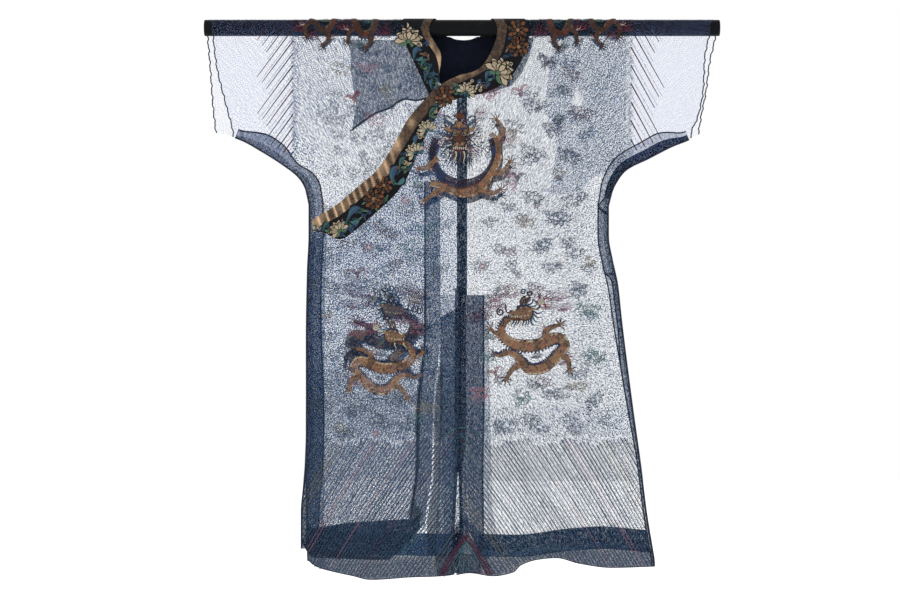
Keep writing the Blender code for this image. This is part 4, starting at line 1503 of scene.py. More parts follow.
def profile_head(motif):
    """A dragon's head in three-quarter view, looking to its own left."""
    for step, tone in enumerate((NAVY, TEAL, GREY, NAVY, LEAF_GREEN, TEAL, NAVY, GREY, OUTLINE)):
        angle = -0.9 + 0.33 * step
        motif.wave(ray(0, 0, 6, angle), ray(0, 0, 38, angle, 34), 5.0, tone, 3.5, 2)
    for root, bend, lift in ((4, 0.35, 33), (-6, 0.28, 38)):
        motif.leaf((root, 12), (root + 16, lift), 5.0, SHADED, bend, 1)
        motif.leaf((root + 7, 24), (root + 2, 38), 3.2, SHADED, -0.2, 1)
    motif.leaf((8, -10), (-27, -17), 13, RUST, -0.08, 1, 3)
    motif.wave((-6, -8), (-30, -8), 3.0, RED, 2.0, 2, 2)
    motif.disc(0, 0, 19, GOLD, OUTLINE, 2, 0.9)
    motif.leaf((2, 2), (-33, -1), 17, GOLD, 0.06, 3, 3)
    for step in range(6):
        motif.leaf((-6 - 4 * step, -5.5), (-7 - 4 * step, -10.5), 2.4, CREAM, 0.0, 4)
    motif.disc(-26, 3.5, 3.6, PALE_GOLD, OUTLINE, 4)
    for eye_u, eye_v in ((-9, 7), (3, 8)):
        motif.disc(eye_u, eye_v, 4.2, PALE_GOLD, OUTLINE, 5)
        motif.disc(eye_u - 0.8, eye_v, 1.9, OUTLINE, None, 6, 1.0, 8)
        motif.leaf((eye_u - 7, eye_v + 4), (eye_u + 6, eye_v + 6.5), 3.6, NAVY, 0.2, 6)
    motif.leaf((12, 4), (24, 9), 6.0, PALE_GOLD, 0.2, 4)
    for step in range(8):
        tone = (OUTLINE, GREY, OUTLINE, CREAM)[step % 4]
        motif.wave((8 - 5 * step, -15), (9 - 6 * step, -29 - 3 * (step % 2)), 2.4, tone, 1.4, 2, 3)
    motif.wave((-27, 4), (-62, 22), 2.6, OUTLINE, 7.0, 3, 4)
    motif.wave((-24, -2), (-54, -26), 2.6, OUTLINE, 6.0, 3, 4)
    motif.curl(-50, 2, 8.5, 1.3, 2.8, OUTLINE, 2.0, 4)
    motif.curl(-2, 44, 6.5, 1.1, 2.8, GREY, 0.4, 4)
    motif.curl(12, 42, 6.5, 1.1, 2.8, OUTLINE, 2.6, 4)
    for step in range(16):
        spot = ray(0, 0, 3.6 * math.sqrt(step + 0.6), 2.4 * step)
        motif.disc(*spot, 1.5, (OUTLINE, RUST, CREAM)[step % 3], None, 4, 1.0, 6)


def facing_head(motif):
    """A dragon's head seen from in front, with a full mane."""
    speckle(motif, 0, -4, 46, (OUTLINE, GREY, OUTLINE, PINK, NAVY, CREAM, OUTLINE), 110, 0)
    for step in range(34):
        angle = math.pi * (-0.32 + 1.64 * step / 33)
        reach = 46 + 7 * (step % 3)
        tone = (GREY, OUTLINE, RUST, CREAM, OUTLINE, NAVY)[step % 6]
        motif.wave((-16 * math.sin(angle), -18 * math.cos(angle)),
                   (-reach * math.sin(angle), -reach * 0.95 * math.cos(angle)), 2.3, tone, 3.5, 3)
    for way in (1, -1):
        motif.leaf((9 * way, 20), (30 * way, 52), 5.5, GREY, -0.3 * way, 1)
        motif.leaf((18 * way, 34), (36 * way, 38), 3.6, GREY, 0.2 * way, 1)
        motif.leaf((17 * way, 6), (34 * way, 14), 8.0, PALE_GOLD, 0.15 * way, 2)
    motif.disc(0, 13, 20, GOLD, OUTLINE, 2, 0.66)
    motif.disc(0, -4, 15, SHADED, OUTLINE, 2, 1.1)
    motif.disc(0, 21, 7, PALE_GOLD, RUST, 4, 1.2)
    motif.disc(0, 40, 11, RUST, OUTLINE, 2, 0.62)
    motif.leaf((0, 6), (0, -21), 11, RUST, 0.0, 4, 3)
    for way in (1, -1):
        motif.disc(9 * way, 3, 5.6, OLIVE, OUTLINE, 5)
        motif.disc(8.4 * way, 3, 3.0, OUTLINE, None, 6, 1.0, 8)
        motif.disc(9.4 * way, 4.4, 0.9, CREAM, None, 7, 1.0, 6)
        motif.leaf((3 * way, 10), (19 * way, 13), 4.6, NAVY, 0.2 * way, 5)
        motif.disc(5 * way, -18, 4.4, PALE_GOLD, OUTLINE, 5)
        motif.wave((12 * way, -19), (66 * way, -12), 2.4, OUTLINE, 9.0 * way, 3, 6)
        motif.curl(58 * way, -30, 7, 1.2, 1.8, OUTLINE, 1.0, 6)
    motif.leaf((-15, -26), (15, -26), 9, WINE, -0.12, 3, 2)
    speckle(motif, 0, -2, 18, (OUTLINE, PALE_GOLD, RUST, OUTLINE, SHADED), 44, 4)
    for step in range(7):
        motif.leaf((-12 + 4 * step, -24), (-12 + 4 * step, -30), 2.8, CREAM, 0.0, 5)
    for step in range(11):
        tone = (OUTLINE, GREY, RUST, CREAM)[step % 4]
        motif.wave((-20 + 4 * step, -33), (-27 + 5.4 * step, -58 - 5 * (step % 2)), 2.8, tone, 1.8, 2, 2)


def flames(motif, places):
    """Clusters of thin tongues of fire, the tallest in the middle: u, v, height, lean, tone."""
    for u, v, height, lean, tone in places:
        for step in range(-4, 5):
            root = (u + 0.12 * height * step, v + 3 * chance(step, round(v)))
            rise = height * (1.15 - 0.14 * abs(step) + 0.35 * chance(step, round(u)))
            tongue = covered((tone, MULBERRY, tone, tone)[step % 4], 0.62)
            motif.wave(root, (root[0] + lean + 0.05 * height * step, v + rise), 1.9, tongue, 0.14 * height, 4)


def pearl(motif, u, v):
    motif.disc(u, v, 9, CREAM, PINK, 2)
    motif.curl(u, v, 6, 1.1, 1.8, TEAL, 0.0, 3)
    for step in range(5):
        angle = 0.5 + 1.25 * step
        motif.wave(ray(u, v, 9, angle), ray(u, v, 22, angle, 24), 4.0, RED, 2.5, 2, 1)


LOWER_BODY = (
    (-34, 44, 11), (-58, 42, 14), (-76, 26, 17), (-78, 2, 21), (-56, -18, 26), (-24, -26, 30), (12, -24, 30),
    (44, -10, 28), (68, -8, 26), (80, -26, 24), (66, -46, 25), (48, -66, 26), (22, -84, 26), (-8, -86, 25),
    (-28, -70, 22), (-42, -52, 18), (-64, -44, 14), (-86, -52, 9), (-100, -44, 3),
)
LOWER_LIMBS = (
    ((30, -12, 19), (36, 14, 15), (66, 26, 9)), ((-70, 10, 15), (-92, 4, 11), (-106, 16, 8)),
    ((62, -46, 18), (86, -60, 14), (92, -86, 9)), ((-30, -72, 18), (-52, -86, 13), (-66, -108, 9)),
)
LOWER_FLAMES = (
    (-92, 62, 34, 8, PINK), (-62, 92, 38, 14, PINK), (38, 62, 30, 14, PINK), (74, 58, 24, 18, PINK),
    (58, 84, 34, 16, PINK), (-98, 82, 22, 4, PINK), (-108, -12, 24, -12, TEAL), (6, -60, 18, 8, SLATE),
    (76, -76, 20, 12, PINK),
)
CHEST_BODY = (
    (70, 52, 9), (86, 24, 18), (84, -14, 24), (66, -50, 22), (48, -80, 25), (12, -98, 25), (-22, -96, 20),
    (-52, -82, 17), (-84, -76, 12),
)
CHEST_LIMBS = (
    ((82, 30, 18), (98, 58, 14), (82, 86, 9)), ((66, -50, 18), (98, -44, 14), (116, -20, 9)),
    ((-46, -84, 18), (-76, -102, 14), (-98, -118, 9)), ((-66, -10, 18), (-90, -34, 14), (-112, -38, 9)),
    ((36, -90, 16), (74, -98, 12), (92, -90, 8)),
)
CHEST_FLAMES = (
    (108, 26, 30, 12, PINK), (-104, 12, 30, -10, PINK), (40, 96, 24, 8, RED), (-62, 92, 26, -8, PINK),
    (112, -62, 26, 14, PINK), (-112, -84, 22, -12, TEAL),
)
SHOULDER_X = {1: 0.297, -1: -0.295}
SHOULDER_NEAR = ((-78, 24, 17), (-70, -8, 18), (-44, -16, 17), (-30, 6, 16), (-22, 28, 14))
SHOULDER_FAR = ((26, 28, 15), (34, 2, 16), (56, -8, 16), (72, 10, 14), (86, 28, 12))
SHOULDER_LIMBS = (
    ((-60, -10, 16), (-66, -34, 13), (-54, -52, 8)), ((-30, 0, 15), (-12, -14, 12), (-8, -34, 8)),
    ((50, -6, 16), (40, -28, 12), (54, -44, 8)), ((80, 16, 14), (98, 0, 11), (96, -22, 8)),
)
SHOULDER_FLAMES = (
    (-96, -22, 30, -6, RED), (2, -8, 34, 4, RED), (14, 14, 18, 6, TEAL), (-4, 18, 16, -6, PLUM),
    (108, -14, 28, 8, RED), (-40, -52, 18, 4, TEAL), (-58, 8, 16, 4, TEAL), (50, 12, 16, -4, LEAF_GREEN),
    (76, -30, 20, 4, RED),
)


def lower_dragon(threads, x, z, way, size=1.0, light=GOLD):
    motif = Motif(threads, x, z, size, way, 0.0, DRAGON_LEVEL)
    coil(motif, LOWER_BODY, (light, PALE_GOLD, CREAM), NAVY, 1)
    limbs(motif, LOWER_LIMBS, light, PALE_GOLD, OUTLINE, 1.0, 2)
    for step, tone in enumerate((TEAL, NAVY, PINK, TEAL, PLUM)):
        motif.wave((-94, -46), ray(-94, -46, 22, 2.2 + 0.4 * step), 3.0, tone, 3.0, 2, 1)
    profile_head(Motif(threads, x - 0.022 * way, z + 0.056, size * 1.2, way, 0.0, HEAD_LEVEL))
    flames(motif, LOWER_FLAMES)
    pearl(motif, 20, 84)


def chest_dragon(threads, x, z):
    motif = Motif(threads, x, z, 1.0, 1, 0.0, DRAGON_LEVEL)
    ring = [(78 * math.sin(a), 2 - 74 * math.cos(a), 16) for a in steps(-0.66 * math.pi, 0.66 * math.pi, 12)]
    coil(motif, ring, (DEEP_PLUM, NAVY, SLATE), NAVY, 1)
    coil(motif, CHEST_BODY, (GOLD, PALE_GOLD, CREAM), RUST, 3)
    limbs(motif, CHEST_LIMBS, GOLD, PALE_GOLD, PLUM, 1.0, 4)
    facing_head(Motif(threads, x - 0.010, z + 0.046, 1.22, 1, 0.0, HEAD_LEVEL))
    flames(motif, CHEST_FLAMES)


def shoulder_dragon(threads, way):
    """The part of a shoulder dragon on one face: it goes on over the rod."""
    motif = Motif(threads, SHOULDER_X[way], 0.0, 1.0, way, 0.0, DRAGON_LEVEL)
    # Dark browns only: painted shade, since over the rod no light comes through the cloth from behind.
    coil(motif, SHOULDER_NEAR, (RUST, SHADED, LEAF_GREEN), NAVY, 2)
    coil(motif, SHOULDER_FAR, (SHADED, RUST, OLIVE), NAVY, 2)
    limbs(motif, SHOULDER_LIMBS, SHADED, RUST, OUTLINE, 0.9, 3)
    flames(motif, SHOULDER_FLAMES)


# ---- clouds and small motifs
CLOUD_TONES = (GREY, GREY, SLATE, GREY, SLATE, OLIVE, TEAL, PINK, GREY, SLATE, PLUM)
CLOUD_STEP_ACROSS = 0.092
CLOUD_STEP_DOWN = 0.056
CLOUDS_END = -1.035
CLOUDS_LEFT = -0.45
CLOUDS_RIGHT = 0.46
CLOUD_DRIFT = (0.022, 0.020)
CURL_SPACING = 15.0
CLOUD_REACH = ((0.026, 0.0), (-0.026, 0.0), (0.0, 0.015), (0.0, -0.015))
# Round the dragons: centre x, z and radius, metres
KEEP_CLEAR = ((0.0, -0.300, 0.125), (0.179, -0.774, 0.112), (-0.190, -0.800, 0.120),
              (-0.295, 0.0, 0.085), (0.297, 0.0, 0.085))


def cloud(motif, draw, tone):
    """A small bank of curls over a thinly sewn ground, with a wisp at one end."""
    count = draw.choice((2, 3, 3, 4))
    for row in (0, 1):
        for index in range(count - row):
            u = (index - (count - row - 1) / 2) * CURL_SPACING + draw.uniform(-2.5, 2.5)
            v = 6.5 - 14.0 * row + draw.uniform(-3, 3)
            motif.disc(u, v, 8.0, covered(tone, 0.16), None, 0, 0.9, 9)
            motif.curl(u, v, draw.uniform(5.6, 7.6), 1.25, 1.9, tone, draw.uniform(0, 6.3), 1)
            speckle(motif, u, v, 5.0, (tone,), 3, 1)
    end = draw.choice((-1, 1)) * (count * CURL_SPACING / 2 + 12)
    motif.wave((end * 0.5, -2), (end, draw.uniform(-10, 10)), 3.6, tone, 3.0, 2)


def bat(motif, tone):
    """A bat with curled wings."""
    motif.disc(0, 0, 4.2, tone, OUTLINE, 1, 1.5)
    for way in (1, -1):
        motif.leaf((2 * way, 1), (22 * way, 9), 8.5, tone, 0.28 * way, 0, 2)
        motif.curl(19 * way, 3, 5.0, 1.1, 2.0, tone, 1.5, 1)
        motif.leaf((1 * way, -4), (6 * way, -14), 3.4, tone, -0.1 * way)


def blossom(motif, tone, heart):
    for step in range(6):
        angle = 2 * math.pi * step / 6
        motif.leaf(ray(0, 0, 2, angle), ray(0, 0, 12, angle), 7.5, tone)
    motif.disc(0, 0, 3.4, heart, None, 1)


def scatter_clouds(threads, inside, high, seed, share):
    """Clouds in staggered rows over one face, with a few bats and blossoms, clear of the dragons."""
    draw = random.Random(seed)
    row = 0
    z = high
    while z > CLOUDS_END:
        x = CLOUDS_LEFT + (row % 2) * CLOUD_STEP_ACROSS / 2
        while x < CLOUDS_RIGHT:
            tone = covered(draw.choice(CLOUD_TONES), share)
            cx, cz = (place + draw.uniform(-drift, drift) for place, drift in zip((x, z), CLOUD_DRIFT))
            kind = draw.random()
            clear = all(math.hypot(cx - kx, cz - kz) > reach for kx, kz, reach in KEEP_CLEAR)
            if clear and all(inside(cx + dx, cz + dz) for dx, dz in CLOUD_REACH):
                size = draw.uniform(0.85, 1.20)
                motif = Motif(threads, cx, cz, size, draw.choice((1, -1)), draw.uniform(-0.6, 0.6))
                if kind < 0.92:
                    cloud(motif, draw, tone)
                elif kind < 0.94:
                    bat(motif, covered(draw.choice((PINK, RED, PLUM)), 0.7))
                else:
                    blossom(motif, covered(PINK, 0.5), covered(CREAM, 0.5))
            x += CLOUD_STEP_ACROSS
        z -= CLOUD_STEP_DOWN
        row += 1


# ---- the striped hem, its waves and mountains
HEM_STRIPES_START = -0.30
HEM_STRIPES_END = -1.40
HEM_STRIPE_COUNT = 90
HEM_STRIPE_PITCH = 0.0102
HEM_STRIPE_WIDTH = 0.0029
HEM_STRIPE_STEP = 0.006
STRIPE_GROUND = paint(52, 70, 94)[:3]
# Threads in order, and how many stripes each makes
HEM_STRIPE_TONES = ((SLATE, 8), (PINK, 2), (SLATE, 6), (OLIVE, 3), (SLATE, 7), (TEAL, 2), (SLATE, 6),
                    (PLUM, 2), (SLATE, 8), (PINK, 1))
WAVE_STEP = 0.0155
WAVE_ROW = 0.012
WAVE_START = 0.008
MOUNTAIN_SIDE = ((0, 0, 12), (16, -26, 15), (36, -58, 16), (60, -98, 15))
MOUNTAIN_RIM = ((0, 12, 4), (24, -22, 4), (46, -56, 4), (72, -96, 4))


def hem_stripes(threads, left, right, hem, lift, shift, cover):
    """Slanting straight-water stripes from the wave band down to the hem, leaning outwards on both sides."""
    tones = [tone for tone, count in HEM_STRIPE_TONES for _ in range(count)]
    for way in (1, -1):
        for index in range(HEM_STRIPE_COUNT):
            x = way * (HEM_STRIPES_START + shift + HEM_STRIPE_PITCH * (index + 0.12 * chance(index, way)))
            tone = tones[(index + 5 * (way < 0)) % len(tones)]
            dark = [mix(a, b, 0.8 if tone is SLATE else 0.62) for a, b in zip(tone[:3], STRIPE_GROUND)]
            line = []
            z = STRIPES_TOP + 0.03
            while z > HEM_STRIPES_END:
                slope = 0.75 - 0.42 * min(abs(x), 0.45)
                if left(z) < x < right(z) and x * way > 0 and hem(x) < z < water_top(x) + lift:
                    wide = HEM_STRIPE_WIDTH * (0.85 + 0.3 * chance(index + 40, len(line) // 7))
                    line.append((x, z, wide))
                elif line:
                    break
                z -= HEM_STRIPE_STEP
                x += way * slope * HEM_STRIPE_STEP
            if len(line) > 2:
                threads.strip(line, (*dark, cover * (0.8 + 0.3 * chance(index, 7))))


def wave_scrolls(threads, hem, low, high, way, rows):
    """Banks of small curled waves above the hem."""
    for row in range(rows):
        x = low + WAVE_START * (row % 2)
        while x < high:
            motif = Motif(threads, x, hem.at(x) + WAVE_START + row * WAVE_ROW, 1.0, way)
            motif.curl(0, 0, 5.4, 1.2, 1.9, covered(SLATE, 0.9), 0.6)
            x += WAVE_STEP


def centre_mountain(threads, x, z):
    """The red-edged peak over the centre vent, with fanning rays in it."""
    motif = Motif(threads, x, z, 1.0, 1, 0.0, 3)
    for way in (1, -1):
        motif.line([(u * way, v, width) for u, v, width in MOUNTAIN_SIDE], covered(MULBERRY, 0.75), 2)
        motif.line([(u * way, v, width) for u, v, width in MOUNTAIN_RIM], covered(PLUM, 0.5))
        for step in range(6):
            motif.line([(2 * way, -14, 2.6), ((8 + 8 * step) * way, -92 + 3 * step, 2.6)],
                       covered((TEAL, SLATE)[step % 2], 0.6), 1, 6.0, 1)


def water_arcs(threads, x, z):
    motif = Motif(threads, x, z, 1.0, 1, 0.0, 2)
    for step, tone in enumerate((MULBERRY, TEAL, SLATE, MULBERRY, TEAL)):
        reach = 10 + 9 * step
        arc = [(*ray(0, 0, reach, angle, reach * 0.85), 3.0) for angle in steps(0.1, math.pi - 0.1, 8)]
        motif.line(arc, covered(tone, 0.5))


# ---- sleeves: where the stripes start and end, their pitch and slope, on the left and the right
SLEEVE_STRIPES = {1: (0.424, 0.508, 0.0225, 0.56), -1: (0.424, 0.516, 0.0184, 0.75)}
UNDERARM_CLEAR = 0.03
SLEEVE_STEP = 0.0026
SLEEVE_STRIPE_STEPS = 36
SLEEVE_STRIPE_WIDTH = 0.0034
SLEEVE_STRIPE_TAPER = 0.0020
BORDER_CURLS = 90
BORDER_STEP = 0.0042


def sleeve_stripes(threads, panel, shift, share):
    """Slanting stripes on the plain sleeve, which thin out towards its end."""
    inner, outer, pitch, slope = SLEEVE_STRIPES[panel.way]
    rise = pitch * math.hypot(1, 1 / slope)
    for index in range(-10, 12):
        line = []
        for step in range(SLEEVE_STRIPE_STEPS):
            x = inner + step * SLEEVE_STEP
            z = -0.004 - rise * (index + shift) - (x - inner) / slope
            bottom = -panel.underarm.at(panel.way * x) + UNDERARM_CLEAR
            if x < outer - 0.012 * (index % 3) and bottom < z < -0.002:
                width = SLEEVE_STRIPE_WIDTH - SLEEVE_STRIPE_TAPER * step / SLEEVE_STRIPE_STEPS
                line.append((panel.way * x, z, width))
        if len(line) > 2:
            tone = (OUTLINE, WINE, SLATE, OUTLINE)[index % 4]
            threads.strip(line[::panel.way], covered(tone, share))


def sleeve_border(threads, panel):
    """Ringlets along the line where the worked ground ends on a sleeve."""
    for step in range(BORDER_CURLS):
        x = PLAIN_SLEEVE - 0.009 + 0.014 * chance(step, 5)
        z = -0.006 - BORDER_STEP * step
        if z > -panel.underarm.at(panel.way * x) + UNDERARM_CLEAR:
            motif = Motif(threads, panel.way * x, z, 1.0, panel.way)
            motif.curl(0, 0, 3.4, 1.1, 1.5, covered(SLATE, 0.35), 6.3 * chance(step))


# ---- collar
def petal(motif, start, end, width, tone, level=0, bend=0.0):
    """A petal with a dark line round it, broadest near its rounded tip."""
    motif.leaf(start, end, width, INK, bend, level, 2, 2.2, FULL)
    inner = (mix(start[0], end[0], 0.14), mix(start[1], end[1], 0.14))
    tip = (mix(start[0], end[0], 0.92), mix(start[1], end[1], 0.92))
    motif.leaf(inner, tip, width * 0.70, tone, bend, level + 1, 2, 2.2, FULL)


def lotus(motif, petals, shade, heart, reach):
    """An open lotus: rows of rounded petals over its calyx."""
    rows = ((1.80, 1.0, 7, petals), (1.25, 0.82, 6, shade), (0.70, 0.62, 3, petals))
    for row, (spread, size, count, tone) in enumerate(rows):
        length = reach * size
        for step in range(count):
            angle = math.pi / 2 + spread * (2 * step / (count - 1) - 1)
            tip = (length * math.cos(angle), length * math.sin(angle) - 6)
            bend = 0.08 * math.copysign(1, math.cos(angle))
            petal(motif, (2 * math.cos(angle), -7), tip, reach * 0.46, tone, 2 * row + step % 2, bend)
    motif.disc(0, -7, reach * 0.16, heart, INK, 8)
    motif.leaf((-3, -9), (-reach * 0.7, -14), reach * 0.22, heart, 0.2, 0)
    motif.leaf((3, -9), (reach * 0.7, -14), reach * 0.22, heart, -0.2, 0)


def peony(motif, tone, shade, heart, reach):
    """A full blossom of round lobes, each with a dark line round it."""
    for ring, (near, far, count, wide) in enumerate(((0.30, 1.04, 9, 0.52), (0.10, 0.68, 7, 0.42))):
        for step in range(count):
            angle = 2 * math.pi * (step + 0.5 * ring + 0.3 * chance(step, ring)) / count
            petal(motif, ray(0, 0, near * reach, angle), ray(0, 0, far * reach, angle), wide * reach,
                  (tone, shade)[(step + ring) % 2], 2 * ring, 0.15)
    motif.disc(0, 0, reach * 0.2, heart, INK, 5)


def scroll(motif, tone, size):
    """A pair of opposed curls on a stem."""
    motif.wave((-1.6 * size, -size), (1.6 * size, size), 3.0, tone, 4.0, 2)
    motif.curl(-size, 0.4 * size, 0.6 * size, 1.4, 2.2, tone, 0.5, 1)
    motif.curl(size, -0.4 * size, 0.6 * size, 1.4, 2.2, tone, 3.6, 1)


def big_leaf(motif, tone, vein, length):
    petal(motif, (-length / 2, -4), (length / 2, 5), length * 0.52, tone, 0, 0.22)
    petal(motif, (-length / 2, -4), (length * 0.1, -length * 0.42), length * 0.34, vein, 0, -0.2)
    motif.leaf((-length / 2, -4), (length / 2, 5), 1.5, vein, 0.22, 2)


LOTUS = (lotus, BEIGE, DUSTY, LEAF_GREEN, 26)
SMALL_LOTUS = (lotus, BEIGE, CREAM, TEAL_LEAF, 18)
PEONY = (peony, ORANGE, SHADED, PALE_GOLD, 20)
SCROLL = (scroll, BLUE_LEAF, 9)
BLUE = (big_leaf, BLUE_LEAF, TEAL, 30)
GREEN = (big_leaf, TEAL_LEAF, LEAF_GREEN, 24)
# What grows on each stretch of the band: kind; x, z in millimetres; size; turn
COLLAR_MOTIFS = {
    "outer": (
        (LOTUS, -312, -505, 1.05, 0.65), (GREEN, -340, -500, 1.1, 0.5), (SCROLL, -276, -500, 1.0, 0.9),
        (BLUE, -270, -470, 1.6, 0.55), (SCROLL, -240, -470, 0.9, 0.9), (PEONY, -222, -432, 1.35, 0.9),
        (PEONY, -196, -398, 1.15, 0.2), (BLUE, -166, -372, 1.7, 1.15), (GREEN, -148, -340, 1.3, 0.7),
        (SCROLL, -128, -352, 0.8, 1.3), (SMALL_LOTUS, -124, -308, 1.5, 0.75), (BLUE, -112, -286, 1.1, 1.2),
        (SMALL_LOTUS, -92, -250, 1.5, 0.5), (GREEN, -72, -214, 1.2, 0.5), (PEONY, -44, -174, 1.30, 0.3),
        (SMALL_LOTUS, 14, -154, 1.5, -0.35), (GREEN, -14, -160, 0.8, 0.3), (SCROLL, 54, -140, 1.1, 0.2),
        (LOTUS, 98, -108, 1.6, -0.80), (BLUE, 66, -122, 0.9, 0.9), (PEONY, 142, -50, 1.35, 0.0),
        (PEONY, 140, -8, 1.35, 0.6),
    ),
    "inner": (
        (LOTUS, -132, -26, 1.5, -0.15), (BLUE, -112, -66, 1.3, 0.9), (SCROLL, -98, -44, 1.1, 0.6),
        (GREEN, -94, -92, 1.2, 0.6), (SCROLL, -82, -116, 1.0, 0.2), (BLUE, -74, -142, 0.9, 1.2),
    ),
    "back": (
        (PEONY, 112, -20, 1.4, 0.2), (BLUE, 84, -54, 1.3, 0.6), (LOTUS, 38, -72, 1.3, 0.3),
        (SCROLL, 4, -76, 1.3, 0.0), (PEONY, -34, -68, 1.3, 0.0), (BLUE, -70, -48, 1.3, -0.6),
        (LOTUS, -98, -20, 1.4, -0.2),
    ),
}
TENDRIL_SEEDS = {"outer": 5, "inner": 5, "back": 4}
COLLAR_OUT_STEP = 0.0002
COLLAR_RIM = 0.0022
TENDRIL_TONES = (BLUE_LEAF, TEAL_LEAF, TEAL_LEAF, LEAF_GREEN, GOLD, BEIGE)


def tendrils(threads, rows, seed):
    """Small curls that fill the band between its flowers."""
    draw = random.Random(seed)
    for row in rows[3:-3:2]:
        ax, az, bx, bz = row[2:6]
        across = draw.uniform(0.14, 0.86)
        tone = draw.choice(TENDRIL_TONES)
        way = draw.choice((1, -1))
        motif = Motif(threads, mix(ax, bx, across), mix(az, bz, across), 1.0, way, draw.uniform(0, 6.3), 0)
        motif.curl(0, 0, draw.uniform(4.0, 6.5), 1.3, 1.8, tone)
        motif.leaf((4, 0), (14, draw.uniform(-5, 5)), 5.0, tone, 0.2)


def collar_embroidery():
    for name, (rows, place) in STRETCHES.items():
        threads = Threads(lifted(place, WALL / 2 + COLLAR_OUT_STEP))
        tendrils(threads, rows, TENDRIL_SEEDS[name])
        for (draw_kind, *tones), x, z, size, turn in COLLAR_MOTIFS[name]:
            draw_kind(Motif(threads, x * MM, z * MM, size, 1, turn, 2), *tones)
        threads.strip([(row[4], row[5], COLLAR_RIM) for row in rows], RIM)
        threads.build("collar_embroidery_" + name)


# ---- what lies on each face
CLOUD_FLOOR = -1.04
CHEST_OUT = 0.0004


def front_top(x, z, out=0.0):
    """A point on whichever front layer is outermost there."""
    over_flap = x < CENTRE_FRONT and z < FLAP_TOP.at(x)
    return front(x, z, (flap_lift(x, z) if over_flap else 0.0) + out)


def under_flap_ground(x, z):
    return RIGHT_FRONT.side_at(z) + 0.02 < x < UNDER_FLAP_EDGE.at(z) - 0.01 and CLOUD_FLOOR < z < -0.06


def outer_flap_ground(x, z):
    return OVERLAP_SIDE.at(z) + 0.02 < x < CENTRE_FRONT - 0.01 and CLOUD_FLOOR < z < FLAP_TOP.at(x) - 0.05


def right_back_ground(x, z):
    return max(RIGHT_SIDE.at(z), -0.42) + 0.02 < x < RIGHT_BACK_EDGE.at(z) - 0.012 and z > CLOUD_FLOOR


def left_ground(edge):
    """Places on a left face, clear of its centre edge and side."""
    return lambda x, z: edge.at(z) + 0.012 < x < min(LEFT_SIDE.at(z), 0.42) - 0.02 and z > CLOUD_FLOOR


def left_of_centre(edge):
    """An edge's x on the wearer's left, held back at the middle."""
    return lambda z: max(edge.at(z), 0.0)


def right_of_centre(edge):
    return lambda z: min(edge.at(z), 0.0)


# Clouds: where they may lie, their upper limit, seed and cover. Dragon: x, z, way it faces, size, tone.
# Stripes: their left, right and lower limits, how far they rise, their shift and cover.
# Waves: hem, from, to, way, rows. Sleeve: panel, shift and cover of its stripes.
FACES = {
    "under_flap": {
        "place": lifted(front, ON_CLOTH),
        "clouds": (under_flap_ground, -0.05, 11, 0.42),
        "dragon": (-0.202, -0.766, -1, 1.0, DEEP_PLUM),
        "stripes": (RIGHT_SIDE.at, UNDER_FLAP_EDGE.at, UNDER_FLAP_HEM.at, 0.010, 0.004, 0.5),
        "sleeve": (RIGHT_FRONT, 0.0, 1.0),
    },
    "outer_flap": {
        "place": lifted(on_flap, ON_CLOTH),
        "clouds": (outer_flap_ground, -0.05, 23, 0.34),
        "dragon": (-0.198, -0.832, -1, 0.92, covered(GOLD, 0.76)),
        "stripes": (OVERLAP_SIDE.at, right_of_centre(FLAP_EDGE), FRONT_HEM.at, 0.0, 0.0, 0.94),
        "waves": (FRONT_HEM, -0.36, -0.03, -1, 3),
    },
    "left_front": {
        "place": lifted(front, ON_CLOTH),
        "clouds": (left_ground(LEFT_FRONT_EDGE), 0.012, 37, 0.75),
        "dragon": (0.179, -0.774, 1),
        "stripes": (left_of_centre(LEFT_FRONT_EDGE), LEFT_SIDE.at, FRONT_HEM.at, 0.0, 0.0, 0.94),
        "waves": (FRONT_HEM, 0.03, 0.47, 1, 3),
        "sleeve": (LEFT_FRONT, 0.0, 1.0),
    },
    "right_back": {
        "place": lifted(back, ON_CLOTH),
        "clouds": (right_back_ground, 0.012, 41, 0.42),
        "dragon": (-0.190, -0.770, -1),
        "stripes": (RIGHT_SIDE.at, right_of_centre(RIGHT_BACK_EDGE), BACK_HEM.at, -0.006, 0.0065, 0.5),
        "waves": (BACK_HEM, -0.38, -0.02, -1, 2),
        "sleeve": (RIGHT_BACK, 0.4, 0.35),
    },
    "left_back": {
        "place": lifted(back, ON_CLOTH),
        "clouds": (left_ground(LEFT_BACK_EDGE), 0.012, 53, 0.65),
        "dragon": (0.179, -0.774, 1),
        "stripes": (left_of_centre(LEFT_BACK_EDGE), LEFT_SIDE.at, BACK_HEM.at, -0.004, 0.0045, 0.38),
        "waves": (BACK_HEM, 0.03, 0.47, 1, 2),
        "sleeve": (LEFT_BACK, 0.4, 0.35),
    },
}


def face_embroidery(name, place, clouds, dragon, stripes, waves=None, sleeve=None):
    threads = Threads(place)
    scatter_clouds(threads, *clouds)
    lower_dragon(threads, *dragon)
    if sleeve:
        shoulder_dragon(threads, sleeve[0].way)
    hem_stripes(threads, *stripes)
    if waves:
        wave_scrolls(threads, *waves)
    if sleeve:
        sleeve_stripes(threads, *sleeve)
        sleeve_border(threads, sleeve[0])
    threads.build("embroidery_" + name)


def centre_embroidery():
    """The chest dragon, the mountain over each vent and the arcs of water above the front one."""
    chest = Threads(lifted(front_top, ON_CLOTH + CHEST_OUT))
    chest_dragon(chest, 0.004, -0.318)
    centre_mountain(chest, 0.010, -1.278)
    water_arcs(chest, 0.0, -1.045)
    chest.build("embroidery_chest")
    back_centre = Threads(lifted(back, ON_CLOTH + CHEST_OUT))
    chest_dragon(back_centre, 0.006, -0.330)
    centre_mountain(back_centre, 0.006, -1.240)
    back_centre.build("embroidery_back_centre")


